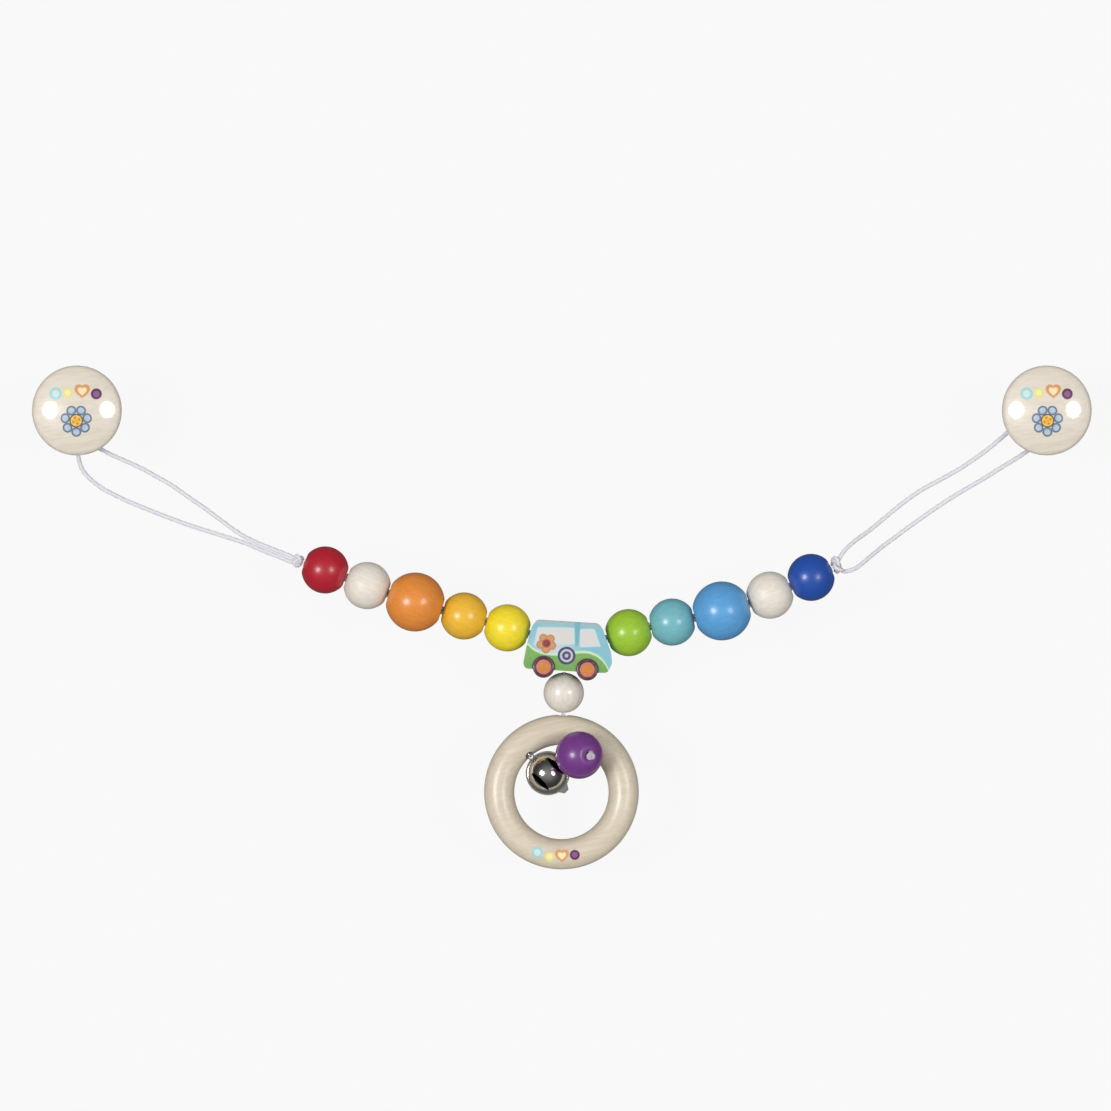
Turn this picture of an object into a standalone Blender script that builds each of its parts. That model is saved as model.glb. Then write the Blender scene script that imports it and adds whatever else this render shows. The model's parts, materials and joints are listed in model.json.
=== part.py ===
"""Pram chain toy, lying flat with its front up.

Ten turned wooden beads and a painted wooden van hang on a doubled cord between
two clips with domed wooden discs.  A natural wooden ring with a jingle bell and
a purple bead hangs below the van.  Units are metres, +Z is up, +X is to the
right and +Y is towards the clips.  The floor is at zero height.
"""
import math

import bmesh
import bpy
from mathutils import Matrix, Vector

MM = 0.001
DEG = math.pi / 180.0

# Clearances
SEAT_GAP = 0.3 * MM
MOUTH_GAP = 0.6 * MM
PENDANT_GAP = 1.2 * MM
CORD_GAP = 0.4 * MM
VAN_CORD_TRIM = 0.8 * MM
CUT_OVERRUN = 1.0 * MM

# Cord
CORD_DIAMETER = 1.8 * MM
STRAND_PRESS = 0.1 * MM
STRAND_OFFSET = (CORD_DIAMETER - STRAND_PRESS) / 2
CORD_POINT_STEP = 2.9 * CORD_DIAMETER
CORD_TURN = 24.0 * DEG
RAIL_RISE_SHARE = 0.42

# Beads
SMALL_BEAD_DIAMETER = 20.0 * MM
BIG_BEAD_DIAMETER = 25.0 * MM
PENDANT_BEAD_DIAMETER = 17.0 * MM
BEAD_END_CUT = 0.85 * MM
PENDANT_END_CUT = 0.3 * MM
MOUTH_LAND = 0.7 * MM
MOUTH_ROUND = 1.4 * MM
STRING_HEIGHT = (SMALL_BEAD_DIAMETER + BIG_BEAD_DIAMETER) / 4
STRING_OFFSET = abs(BIG_BEAD_DIAMETER - SMALL_BEAD_DIAMETER) / 4
BORE_CLEARANCE = 0.22 * MM
STRING_BORE = math.hypot(STRING_OFFSET, STRAND_OFFSET) + CORD_DIAMETER / 2 + BORE_CLEARANCE
SINGLE_BORE_CLEARANCE = 0.7 * MM
SINGLE_BORE = CORD_DIAMETER / 2 + SINGLE_BORE_CLEARANCE

# Van
VAN_CENTRE = Vector((2.17 * MM, -5.78 * MM, 0.0))
VAN_TILT = -3.6 * DEG
VAN_LENGTH = 37.4 * MM
VAN_HEIGHT = 20.7 * MM
VAN_DEPTH = 17.6 * MM
VAN_REAR = -17.6 * MM
VAN_BOTTOM = -16.6 * MM
VAN_CORNER = 1.6 * MM
VAN_EDGE = 1.3 * MM
VAN_BORE_DROP = -2.3 * MM
VAN_OUTLINE_SHARES = (
    (0.030, 0.000),
    (0.000, 0.090),
    (0.032, 0.533),
    (0.076, 0.870),
    (0.129, 1.000),
    (0.817, 1.000),
    (0.868, 0.908),
    (0.980, 0.427),
    (1.000, 0.214),
    (0.953, 0.016),
    (0.820, 0.000),
)
WHEEL_DIAMETER = 9.1 * MM
WHEEL_DEPTH = 20.0 * MM
WHEEL_EDGE = 0.5 * MM
WHEEL_CENTRE_SHARES = ((0.233, 0.053), (0.724, 0.053))
REAR_SIDE_SHARES = (2, 3)
FRONT_SIDE_SHARES = (6, 7)
TIE_PLACE_SHARE = 0.468

# Chain: slope of each link above the level, walking outwards from the van
LEFT_SLOPES = (16.4 * DEG, 14.4 * DEG, 17.2 * DEG, 21.0 * DEG, 19.7 * DEG)
RIGHT_SLOPES = (16.6 * DEG, 10.6 * DEG, 14.4 * DEG, 22.8 * DEG, 23.8 * DEG)

# Pendant
PENDANT_LEAN = 1.3 * DEG
PENDANT_SLOPE = 8.5 * DEG
RING_DIAMETER = 65.2 * MM
RING_SECTION = 12.74 * MM
RING_HOLE_RADIUS = 2.5 * MM

# Bell
BELL_DIAMETER = 17.2 * MM
BELL_WALL = 0.45 * MM
BELL_FLANGE = 0.7 * MM
BELL_REST_GAP = 0.3 * MM
BELL_EYE_PLACE = 130.8 * DEG
BELL_HEADING = -44.2 * DEG
BELL_EYE_INSET = 0.6 * MM
LUG_REACH = 10.0 * MM
LUG_WIDTH = 2.8 * MM
LUG_HOLE = 0.85 * MM
TAB_REACH = 11.1 * MM
TAB_WIDTH = 5.2 * MM
TAB_TIP_WIDTH = 2.2 * MM
SLOT_LENGTH = 10.0 * MM
SLOT_WIDTH = 1.7 * MM
SLOT_SPREAD = 4.6 * MM
CLAPPER_DIAMETER = 5.0 * MM
EYE_WIRE = 0.7 * MM
EYE_RADIUS = 1.1 * MM
EYE_SHANK = 4.0 * MM
EYE_TURN = 300.0 * DEG
POCKET_RADIUS = 2.1 * MM

# Purple bead on the end of the pendant cord
DANGLE_PLACE = 65.0 * DEG
DANGLE_RADIUS = 17.5 * MM
DANGLE_CLEARANCE = 0.68 * MM
DANGLE_TILT = 27.0 * DEG
DANGLE_KNOT_WIDTH = 4.8 * MM
DANGLE_KNOT_THICKNESS = 2.6 * MM

# Clips, measured from each disc's centre, jaws towards +Y
CLIP_SPREAD = 408.5 * MM
CLIP_RISE = 87.23 * MM
DISC_DIAMETER = 37.8 * MM
DISC_UNDERSIDE = 8.2 * MM
DISC_RIM = 2.2 * MM
DISC_FOOT_INSET = 1.0 * MM
DISC_DOME_RADIUS = 42.0 * MM
DISC_RIM_ROUND = 0.9 * MM
SHEET = 0.9 * MM
PLATE_WIDTH = 10.8 * MM
PIN_PLACE = 11.8 * MM
PIN_HEIGHT = 4.6 * MM
PIN_DIAMETER = 1.6 * MM
PIN_CLEARANCE = 0.25 * MM
PIN_HEAD = 2.6 * MM
PIN_HEAD_THICKNESS = 0.5 * MM
EAR_LENGTH = 4.6 * MM
EAR_TOP = 6.3 * MM
LIP_HEIGHT = 4.4 * MM
JAW_REACH = 3.6 * MM
JAW_THICKNESS = 2.2 * MM
JAW_TOOTH = 0.35 * MM
TAIL_REACH = 13.2 * MM
TAIL_RISE = 2.6 * MM
TAIL_BEND = 8.6 * MM
CRANK_LENGTH = 1.4 * MM
STRAP_BAR = 1.2 * MM
STRAP_SLOT = 2.8 * MM
STRAP_SLOT_WIDTH = 8.4 * MM
LEVER_HEIGHT = 7.0 * MM
LEVER_WIDTH = 8.0 * MM
LEVER_TAIL = 9.0 * MM
RIVET_DIAMETER = 2.4 * MM
RIVET_HEAD = 4.6 * MM
RIVET_HEAD_THICKNESS = 0.5 * MM
RIVET_DEPTH = 2.6 * MM

# Knots at the outer ends of the bead string
KNOT_LENGTH = 4.2 * MM
LEFT_KNOT_WIDTH = 6.4 * MM
RIGHT_KNOT_WIDTH = 8.6 * MM
KNOT_WAIST_SHARE = 0.86

# Loop routes: share of the way from the knot to the strap slot, share sideways,
# and share of the knot's height; the strands are joined round the strap bar
LEFT_OUTWARD_SHARES = (
    (0.024, 0.019, 0.98),
    (0.062, 0.0235, 0.92),
    (0.104, 0.03, 0.8),
    (0.146, 0.036, 0.63),
    (0.189, 0.0405, 0.44),
    (0.231, 0.046, 0.26),
    (0.271, 0.055, 0.13),
    (0.352, 0.072, 0.01),
    (0.433, 0.089, 0.0),
    (0.516, 0.103, 0.0),
    (0.6, 0.115, 0.0),
    (0.685, 0.126, 0.0),
    (0.727, 0.13, 0.0),
    (0.772, 0.132, 0.0),
    (0.817, 0.133, 0.0),
    (0.856, 0.128, 0.0),
    (0.9, 0.116, 0.0),
    (0.93, 0.1, 0.0),
    (0.955, 0.074, 0.01),
    (0.975, 0.045, 0.02),
)
LEFT_RETURN_SHARES = (
    (0.955, 0.008, 0.37),
    (0.92, 0.003, 0.23),
    (0.884, 0.001, 0.1),
    (0.848, 0.0, 0.02),
    (0.805, -0.004, 0.0),
    (0.762, -0.008, 0.0),
    (0.719, -0.012, 0.0),
    (0.674, -0.012, 0.0),
    (0.583, -0.012, 0.0),
    (0.534, -0.007, 0.0),
    (0.486, -0.002, 0.0),
    (0.438, 0.002, 0.0),
    (0.389, 0.008, 0.0),
    (0.34, 0.014, 0.02),
    (0.291, 0.02, 0.09),
    (0.243, 0.0235, 0.22),
    (0.198, 0.0215, 0.4),
    (0.155, 0.017, 0.6),
    (0.113, 0.0115, 0.77),
    (0.071, 0.005, 0.9),
    (0.029, 0.0, 0.98),
)
RIGHT_OUTWARD_SHARES = (
    (0.014, -0.036, 0.98),
    (0.037, -0.045, 0.95),
    (0.059, -0.049, 0.89),
    (0.084, -0.048, 0.8),
    (0.137, -0.042, 0.57),
    (0.191, -0.035, 0.32),
    (0.242, -0.032, 0.14),
    (0.294, -0.028, 0.04),
    (0.345, -0.025, 0.0),
    (0.396, -0.022, 0.0),
    (0.497, -0.018, 0.0),
    (0.595, -0.018, 0.0),
    (0.69, -0.022, 0.0),
    (0.788, -0.023, 0.0),
    (0.836, -0.024, 0.0),
    (0.886, -0.024, 0.0),
    (0.93, -0.023, 0.02),
    (0.962, -0.02, 0.04),
)
RIGHT_RETURN_SHARES = (
    (0.954, 0.062, 0.33),
    (0.922, 0.082, 0.18),
    (0.888, 0.086, 0.06),
    (0.852, 0.079, 0.01),
    (0.799, 0.072, 0.0),
    (0.747, 0.068, 0.0),
    (0.647, 0.065, 0.0),
    (0.552, 0.07, 0.0),
    (0.458, 0.076, 0.0),
    (0.408, 0.074, 0.0),
    (0.356, 0.07, 0.01),
    (0.303, 0.064, 0.05),
    (0.25, 0.057, 0.15),
    (0.197, 0.051, 0.32),
    (0.146, 0.048, 0.54),
    (0.096, 0.045, 0.76),
    (0.06, 0.036, 0.9),
    (0.044, 0.03, 0.95),
    (0.026, 0.022, 0.98),
)

# Smoothness of the faceted solids
SMALL_SIDES = 20
BIG_SIDES = 24
SMALL_ARCS = 6
BIG_ARCS = 8
RING_SIDES = 36
SECTION_SIDES = 12
DISC_SIDES = 32
DOME_STEPS = 3
SMALL_ROUND_SIDES = 12
BELL_SIDES = 20
BELL_ARCS = 4
CORNER_STEPS = 3
CORD_BEVEL_STEPS = 2
STRAND_SIDES = 7
KNOT_SIDES = 12
CURVE_SUBSTEPS = 12


def material(name, colour, roughness, metallic=0.0):
    """Return a plain Principled material."""
    made = bpy.data.materials.new(name)
    made.use_nodes = True
    shader = made.node_tree.nodes["Principled BSDF"]
    shader.inputs["Base Color"].default_value = (*colour, 1.0)
    shader.inputs["Roughness"].default_value = roughness
    shader.inputs["Metallic"].default_value = metallic
    return made


def put(name, data, finish, location=(0.0, 0.0, 0.0), parent=None, turn=None):
    """Add a mesh or a curve as an object with its own material."""
    thing = bpy.data.objects.new(name, data)
    data.materials.clear()
    data.materials.append(finish)
    bpy.context.collection.objects.link(thing)
    thing.parent = parent
    thing.matrix_local = Matrix.Translation(location) @ (turn or Matrix.Identity(4))
    return thing


def empty(name, location, heading=0.0, parent=None):
    """Add an empty at a joint, turned about Z."""
    thing = bpy.data.objects.new(name, None)
    bpy.context.collection.objects.link(thing)
    thing.parent = parent
    thing.matrix_local = Matrix.Translation(location) @ Matrix.Rotation(heading, 4, "Z")
    return thing


def to_mesh(name, shape, smooth=True):
    """Turn an edited bmesh into mesh data with its faces pointing out."""
    bmesh.ops.recalc_face_normals(shape, faces=shape.faces)
    data = bpy.data.meshes.new(name)
    shape.to_mesh(data)
    shape.free()
    if smooth:
        data.shade_smooth()
        data.set_sharp_from_angle(angle=35.0 * DEG)
    return data


def turned(name, profile, sides):
    """Revolve (radius, height) points about Z.

    A profile whose ends have no radius closes on two poles, and any other
    profile is a closed loop round a bore.
    """
    shape = bmesh.new()
    rings = []
    for radius, height in profile:
        if radius == 0.0:
            rings.append([shape.verts.new((0.0, 0.0, height))])
            continue
        ring = []
        for side in range(sides):
            angle = math.tau * side / sides
            ring.append(shape.verts.new((radius * math.cos(angle), radius * math.sin(angle), height)))
        rings.append(ring)
    pairs = list(zip(rings, rings[1:]))
    if len(rings[0]) > 1:
        pairs.append((rings[-1], rings[0]))
    for low, high in pairs:
        for side in range(sides):
            after = (side + 1) % sides
            corners = [low[side % len(low)], low[after % len(low)], high[after % len(high)], high[side % len(high)]]
            face = []
            for corner in corners:
                if corner not in face:
                    face.append(corner)
            shape.faces.new(face)
    return to_mesh(name, shape)


def prism(name, outline, low, high, smooth=False):
    """Extrude a closed outline of (x, y) points between two heights."""
    shape = bmesh.new()
    base = [shape.verts.new((x, y, low)) for x, y in outline]
    face = shape.faces.new(base)
    grown = bmesh.ops.extrude_face_region(shape, geom=[face])
    raised = [item for item in grown["geom"] if isinstance(item, bmesh.types.BMVert)]
    bmesh.ops.translate(shape, verts=raised, vec=(0.0, 0.0, high - low))
    return to_mesh(name, shape, smooth)


def arc(centre, radius, start, turn, steps):
    """Points along a circular arc, both ends included."""
    made = []
    for step in range(steps + 1):
        angle = start + turn * step / steps
        made.append((centre[0] + radius * math.cos(angle), centre[1] + radius * math.sin(angle)))
    return made


def rounded(outline, radius, steps=CORNER_STEPS):
    """Round each corner of a closed outline, as far as its sides allow."""
    made = []
    count = len(outline)
    for index in range(count):
        corner = Vector(outline[index])
        before = Vector(outline[index - 1]) - corner
        after = Vector(outline[(index + 1) % count]) - corner
        half = before.angle(after) / 2
        reach = min(radius / math.tan(half), before.length / 2, after.length / 2)
        start = corner + before.normalized() * reach
        end = corner + after.normalized() * reach
        for step in range(steps + 1):
            share = step / steps
            first = start.lerp(corner, share)
            second = corner.lerp(end, share)
            made.append(tuple(first.lerp(second, share)))
    return made


def sheet_outline(path, thickness):
    """Outline of bent sheet metal whose middle follows a path of points."""
    points = [Vector(point) for point in path]
    left = []
    right = []
    for index, point in enumerate(points):
        before = (point - points[index - 1]).normalized() if index else None
        after = (points[index + 1] - point).normalized() if index + 1 < len(points) else None
        along = (before or after) + (after or before)
        along.normalize()
        side = Vector((-along.y, along.x))
        stretch = along.dot(after or before)
        reach = thickness / 2 / stretch
        left.append(tuple(point + side * reach))
        right.append(tuple(point - side * reach))
    return left + right[::-1]


def smooth_route(points, step):
    """Read points from a smooth curve through a route, closer together where it bends."""
    ends = [points[0] * 2 - points[1], *points, points[-1] * 2 - points[-2]]
    fine = []
    for index in range(1, len(ends) - 2):
        p0, p1, p2, p3 = ends[index - 1:index + 3]
        for sub in range(CURVE_SUBSTEPS):
            t = sub / CURVE_SUBSTEPS
            bend = (p0 * 2 - p1 * 5 + p2 * 4 - p3) * (t * t)
            twist = (p1 * 3 - p0 - p2 * 3 + p3) * (t * t * t)
            fine.append((p1 * 2 + (p2 - p0) * t + bend + twist) / 2)
    fine.append(points[-1].copy())
    made = [fine[0]]
    heading = fine[1] - fine[0]
    travelled = 0.0
    for before, after in zip(fine[1:], fine[2:]):
        travelled += (after - before).length
        if travelled >= step or heading.angle(after - before) >= CORD_TURN:
            made.append(before)
            heading = after - before
            travelled = 0.0
    if (made[-1] - fine[-1]).length < step / 4:
        made.pop()
    return made + [fine[-1]]


def strand(name, route, diameter):
    """Curve data of one round, capped strand along a route."""
    data = bpy.data.curves.new(name, "CURVE")
    data.dimensions = "3D"
    data.bevel_depth = diameter / 2
    data.bevel_resolution = CORD_BEVEL_STEPS
    data.use_fill_caps = True
    spline = data.splines.new("POLY")
    spline.points.add(len(route) - 1)
    for point, place in zip(spline.points, route):
        point.co = (*place, 1.0)
    return data


def doubled_cord_mesh(name, span, trim):
    """Two strands of the string pressed side by side, along Z, trimmed at both bends."""
    radius = CORD_DIAMETER / 2
    waist = math.acos(STRAND_OFFSET / radius)
    turn = math.tau - 2 * waist
    right = arc((STRAND_OFFSET, 0.0), radius, waist - math.pi, turn, STRAND_SIDES)
    left = arc((-STRAND_OFFSET, 0.0), radius, waist, turn, STRAND_SIDES)
    return prism(name, right[1:] + left[1:], trim, span - trim, smooth=True)


def cutter(name, data, location=(0.0, 0.0, 0.0), parent=None, turn=None):
    """Add a hidden object that only cuts or joins."""
    thing = put(name, data, bpy.data.materials["cutter"], location, parent, turn)
    thing.hide_render = True
    thing.display_type = "WIRE"
    return thing


def combine(target, other, operation):
    """Join another object to the target, or cut it out of the target."""
    change = target.modifiers.new(other.name, "BOOLEAN")
    change.object = other
    change.operation = operation
    change.solver = "EXACT"


def rod_mesh(name, radius, low, high, sides=SMALL_ROUND_SIDES):
    """A plain cylinder along Z."""
    return turned(name, [(0.0, high), (radius, high), (radius, low), (0.0, low)], sides)


def pointing(direction, up=Vector((0.0, 0.0, 1.0))):
    """Turn that takes local Z along a direction and keeps local X upright."""
    along = direction.normalized()
    upright = (up - along * up.dot(along)).normalized()
    side = along.cross(upright)
    turn = Matrix((upright, side, along)).transposed()
    return turn.to_4x4()


def bead_mesh(name, diameter, end_cut, bore, sides, arcs):
    """A turned ball with flattened ends round its bore, along Z."""
    radius = diameter / 2
    half = radius - end_cut
    land = bore + MOUTH_LAND
    first = math.asin((land + MOUTH_ROUND) / radius)
    profile = [(bore, half), (land, half)]
    for step in range(arcs + 1):
        angle = first + (math.pi - 2 * first) * step / arcs
        profile.append((radius * math.sin(angle), radius * math.cos(angle)))
    profile += [(land, -half), (bore, -half)]
    return turned(name, profile, sides)


def half_pitch(diameter, end_cut, gap):
    """Half a bead's share of the string, with half the gap to its neighbour."""
    return diameter / 2 - end_cut + gap / 2


def van_point(shares):
    """A point of the van's side view in the van's own frame."""
    return (VAN_REAR + shares[0] * VAN_LENGTH, VAN_BOTTOM + shares[1] * VAN_HEIGHT)


def van_mouth(side_shares):
    """Where the string's bore leaves one side of the van, and that side's outward slope."""
    high = Vector(van_point(VAN_OUTLINE_SHARES[side_shares[0]]))
    low = Vector(van_point(VAN_OUTLINE_SHARES[side_shares[1]]))
    share = (VAN_BORE_DROP - high.y) / (low.y - high.y)
    mouth = high.lerp(low, share)
    along = (low - high).normalized()
    outward = Vector((-along.y, along.x))
    if outward.x * mouth.x < 0.0:
        outward = -outward
    return mouth, outward


def van_to_world(place, height=0.0):
    """A point of the van's own frame in the world."""
    turned_place = Matrix.Rotation(VAN_TILT, 2) @ Vector(place)
    return VAN_CENTRE + Vector((turned_place.x, turned_place.y, height))


def first_joint(side_shares):
    """Where the string leaves the van: the middle of the gap to the first bead."""
    mouth, outward = van_mouth(side_shares)
    return van_to_world(mouth + outward * (MOUTH_GAP / 2))


# Bead names, diameters and finishes of each side, walking outwards from the van
LEFT_BEADS = (
    ("yellow_bead", SMALL_BEAD_DIAMETER, (0.86, 0.66, 0.03)),
    ("amber_bead", SMALL_BEAD_DIAMETER, (0.80, 0.45, 0.03)),
    ("orange_bead", BIG_BEAD_DIAMETER, (0.74, 0.24, 0.03)),
    ("left_natural_bead", SMALL_BEAD_DIAMETER, (0.74, 0.68, 0.60)),
    ("red_bead", SMALL_BEAD_DIAMETER, (0.50, 0.01, 0.03)),
)
RIGHT_BEADS = (
    ("green_bead", SMALL_BEAD_DIAMETER, (0.33, 0.60, 0.03)),
    ("turquoise_bead", SMALL_BEAD_DIAMETER, (0.17, 0.51, 0.52)),
    ("light_blue_bead", BIG_BEAD_DIAMETER, (0.09, 0.33, 0.64)),
    ("right_natural_bead", SMALL_BEAD_DIAMETER, (0.74, 0.68, 0.60)),
    ("royal_blue_bead", SMALL_BEAD_DIAMETER, (0.01, 0.08, 0.40)),
)


def string_end(side):
    """World place and heading of the outer end of one side's bead string."""
    beads, slopes, start = string_of(side)
    place = start.copy()
    for (_, diameter, _), slope in zip(beads, slopes):
        place += heading_vector(side, slope) * (2 * half_pitch(diameter, BEAD_END_CUT, MOUTH_GAP))
    return place, slopes[-1]


def string_of(side):
    """The beads, slopes and first joint of one side."""
    if side == "left":
        return LEFT_BEADS, LEFT_SLOPES, first_joint(REAR_SIDE_SHARES)
    return RIGHT_BEADS, RIGHT_SLOPES, first_joint(FRONT_SIDE_SHARES)


def heading_vector(side, slope):
    """Outward direction of a link with a slope above the level."""
    outward = -1.0 if side == "left" else 1.0
    return Vector((outward * math.cos(slope), math.sin(slope), 0.0))


def heading_angle(side, slope):
    """The same direction as an angle about Z."""
    return math.pi - slope if side == "left" else slope


def build_van(finishes):
    """The painted wooden van, its stretch of string and the pendant's tie."""
    frame = empty("van_frame", VAN_CENTRE, VAN_TILT)
    middle = WHEEL_DEPTH / 2
    outline = rounded([van_point(shares) for shares in VAN_OUTLINE_SHARES], VAN_CORNER)
    body = put("van", prism("van", outline, -VAN_DEPTH / 2, VAN_DEPTH / 2), finishes["van"],
               (0.0, 0.0, middle), frame)
    edge = body.modifiers.new("edges", "BEVEL")
    edge.width = VAN_EDGE
    edge.segments = 2
    edge.limit_method = "ANGLE"
    edge.angle_limit = 60.0 * DEG
    for index, shares in enumerate(WHEEL_CENTRE_SHARES):
        radius = WHEEL_DIAMETER / 2
        half = WHEEL_DEPTH / 2
        profile = [(0.0, half), (radius - WHEEL_EDGE, half), (radius, half - WHEEL_EDGE),
                   (radius, WHEEL_EDGE - half), (radius - WHEEL_EDGE, -half), (0.0, -half)]
        place = (*van_point(shares), middle)
        combine(body, cutter(f"wheel_{index + 1}", turned("wheel", profile, SMALL_SIDES), place, frame), "UNION")
    bore = rod_mesh("van_bore", STRING_BORE, -VAN_LENGTH, VAN_LENGTH, SMALL_SIDES)
    along = pointing(Vector((1.0, 0.0, 0.0)))
    bore_place = (0.0, VAN_BORE_DROP, SMALL_BEAD_DIAMETER / 2)
    combine(body, cutter("van_bore", bore, bore_place, frame, along), "DIFFERENCE")
    tie_x = van_point((TIE_PLACE_SHARE, 0.0))[0]
    tie_bore = rod_mesh("tie_bore", SINGLE_BORE, 0.0, VAN_HEIGHT)
    down = pointing(Vector((0.0, -1.0, 0.0)))
    tie_height = pendant_start().z
    combine(body, cutter("tie_bore", tie_bore, (tie_x, VAN_BORE_DROP, tie_height), frame, down), "DIFFERENCE")

    rear, front = [mouth.x + outward.x * MOUTH_GAP / 2
                   for mouth, outward in (van_mouth(REAR_SIDE_SHARES), van_mouth(FRONT_SIDE_SHARES))]
    put("van_cord", doubled_cord_mesh("van_cord", front - rear, VAN_CORD_TRIM), finishes["cord"],
        (rear, VAN_BORE_DROP, STRING_HEIGHT), frame, pointing(Vector((1.0, 0.0, 0.0)), Vector((0.0, 1.0, 0.0))))
    top = VAN_BORE_DROP - STRAND_OFFSET - CORD_DIAMETER - SEAT_GAP
    tie = [Vector((tie_x, top, tie_height)), Vector((tie_x, VAN_BOTTOM, tie_height))]
    put("pendant_tie", strand("pendant_tie", tie, CORD_DIAMETER), finishes["cord"], parent=frame)


def build_string(side, finishes):
    """One side's links: each has a doubled stretch of cord and a bead that turns on it."""
    beads, slopes, start = string_of(side)
    parent = None
    place = start
    before = 0.0
    for number, ((name, diameter, _), slope) in enumerate(zip(beads, slopes), 1):
        heading = heading_angle(side, slope)
        link = empty(f"{side}_link_{number}", place, heading - before, parent)
        half = half_pitch(diameter, BEAD_END_CUT, MOUTH_GAP)
        put(f"{side}_cord_{number}", doubled_cord_mesh(f"{side}_cord_{number}", 2 * half, CORD_GAP / 2), finishes["cord"],
            (0.0, 0.0, STRING_HEIGHT), link, pointing(Vector((1.0, 0.0, 0.0)), Vector((0.0, 1.0, 0.0))))
        big = diameter == BIG_BEAD_DIAMETER
        data = bead_mesh(name, diameter, BEAD_END_CUT, STRING_BORE,
                         BIG_SIDES if big else SMALL_SIDES, BIG_ARCS if big else SMALL_ARCS)
        put(name, data, finishes[name], (half, 0.0, diameter / 2), link,
            pointing(Vector((1.0, 0.0, 0.0))))
        parent = link
        place = Vector((2 * half, 0.0, 0.0))
        before = heading


def knot_mesh(name, length, width):
    """A drawn-up knot: two rounded turns with a waist, along Z."""
    half = length / 2
    radius = width / 2
    profile = [(0.0, half), (radius * KNOT_WAIST_SHARE / 2, half)]
    profile += [(radius, half / 2), (radius * KNOT_WAIST_SHARE, 0.0), (radius, -half / 2)]
    profile += [(radius * KNOT_WAIST_SHARE / 2, -half), (0.0, -half)]
    return turned(name, profile, KNOT_SIDES)


def knot_centre(side):
    """World centre of the knot outside the last bead."""
    end, slope = string_end(side)
    centre = end + heading_vector(side, slope) * (MOUTH_GAP / 2 + KNOT_LENGTH / 2)
    centre.z = STRING_HEIGHT
    return centre


def disc_centre(side):
    """World place below a disc's centre."""
    outward = -1.0 if side == "left" else 1.0
    return Vector((outward * CLIP_SPREAD / 2, CLIP_RISE, 0.0))


def strap_slot_centre(side):
    """Where the loop passes up through a clip's strap slot."""
    sideways = 0.0 if side == "left" else -STRAP_SLOT_WIDTH / 4
    return disc_centre(side) + Vector((sideways, STRAP_BAR + STRAP_SLOT / 2 - TAIL_REACH, 0.0))


def loop_route(side):
    """Route of one end loop: out from the knot, round the strap bar and back."""
    knot = knot_centre(side)
    slot = strap_slot_centre(side)
    outward, back = ((LEFT_OUTWARD_SHARES, LEFT_RETURN_SHARES) if side == "left"
                     else (RIGHT_OUTWARD_SHARES, RIGHT_RETURN_SHARES))
    along = Vector((slot.x - knot.x, slot.y - knot.y, 0.0))
    across = Vector((-along.y, along.x, 0.0))
    lying = CORD_DIAMETER / 2
    rise = STRING_HEIGHT - lying

    def place(shares):
        made = knot + along * shares[0] + across * shares[1]
        made.z = lying + rise * shares[2]
        return made

    under = lying + SEAT_GAP / 2
    over = TAIL_RISE + SHEET + CORD_GAP + lying
    across_bar = Vector((0.0, STRAP_SLOT / 2 + STRAP_BAR / 2))
    steps = [(-across_bar, under), (Vector((0.0, 0.0)), (under + over) / 2)]
    if side == "left":
        steps.append((-across_bar, over))
    else:
        rail = (PLATE_WIDTH + STRAP_SLOT_WIDTH) / 4
        across_rail = Vector((STRAP_SLOT_WIDTH / 4 - rail, 0.0))
        steps += [(across_rail * RAIL_RISE_SHARE, over - SEAT_GAP), (across_rail, over + SEAT_GAP / 2)]
    wrap = [Vector((slot.x + step.x, slot.y + step.y, height)) for step, height in steps]
    return [place(shares) for shares in outward] + wrap + [place(shares) for shares in back]


def build_loop(side, finishes):
    """The knot outside the last bead and the cord loop that holds the clip."""
    end, slope = string_end(side)
    joint = empty(f"{side}_loop_joint", end, heading_angle(side, slope))
    width = LEFT_KNOT_WIDTH if side == "left" else RIGHT_KNOT_WIDTH
    knot = knot_mesh(f"{side}_knot", KNOT_LENGTH, width)
    put(f"{side}_knot", knot, finishes["cord"],
        (MOUTH_GAP / 2 + KNOT_LENGTH / 2, 0.0, STRING_HEIGHT), joint, pointing(Vector((1.0, 0.0, 0.0))))
    route = smooth_route(loop_route(side), CORD_POINT_STEP)
    put(f"{side}_loop", strand(f"{side}_loop", [point - end for point in route], CORD_DIAMETER),
        finishes["cord"], end)


def clip_side(outline, low, high, name):
    """Extrude a (y, z) outline along X between two places."""
    data = prism(name, outline, low, high)
    data.transform(Matrix(((0, 0, 1, 0), (1, 0, 0, 0), (0, 1, 0, 0), (0, 0, 0, 1))))
    return data


def hinge_hole(name, parent, radius):
    """A cutter along the hinge pin's axis."""
    along = pointing(Vector((1.0, 0.0, 0.0)))
    return cutter(name, rod_mesh(name, radius, -PLATE_WIDTH, PLATE_WIDTH),
                  (0.0, PIN_PLACE, PIN_HEIGHT), parent, along)


def ear_outline(top, foot, reach):
    """Outline of a hinge ear with a round top about the pin."""
    start = (PIN_PLACE + reach, foot)
    end = (PIN_PLACE - reach, foot)
    radius = top - PIN_HEIGHT
    return [end, start, *arc((PIN_PLACE, PIN_HEIGHT), radius, 0.0, math.pi, CORNER_STEPS * 2)]


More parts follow.
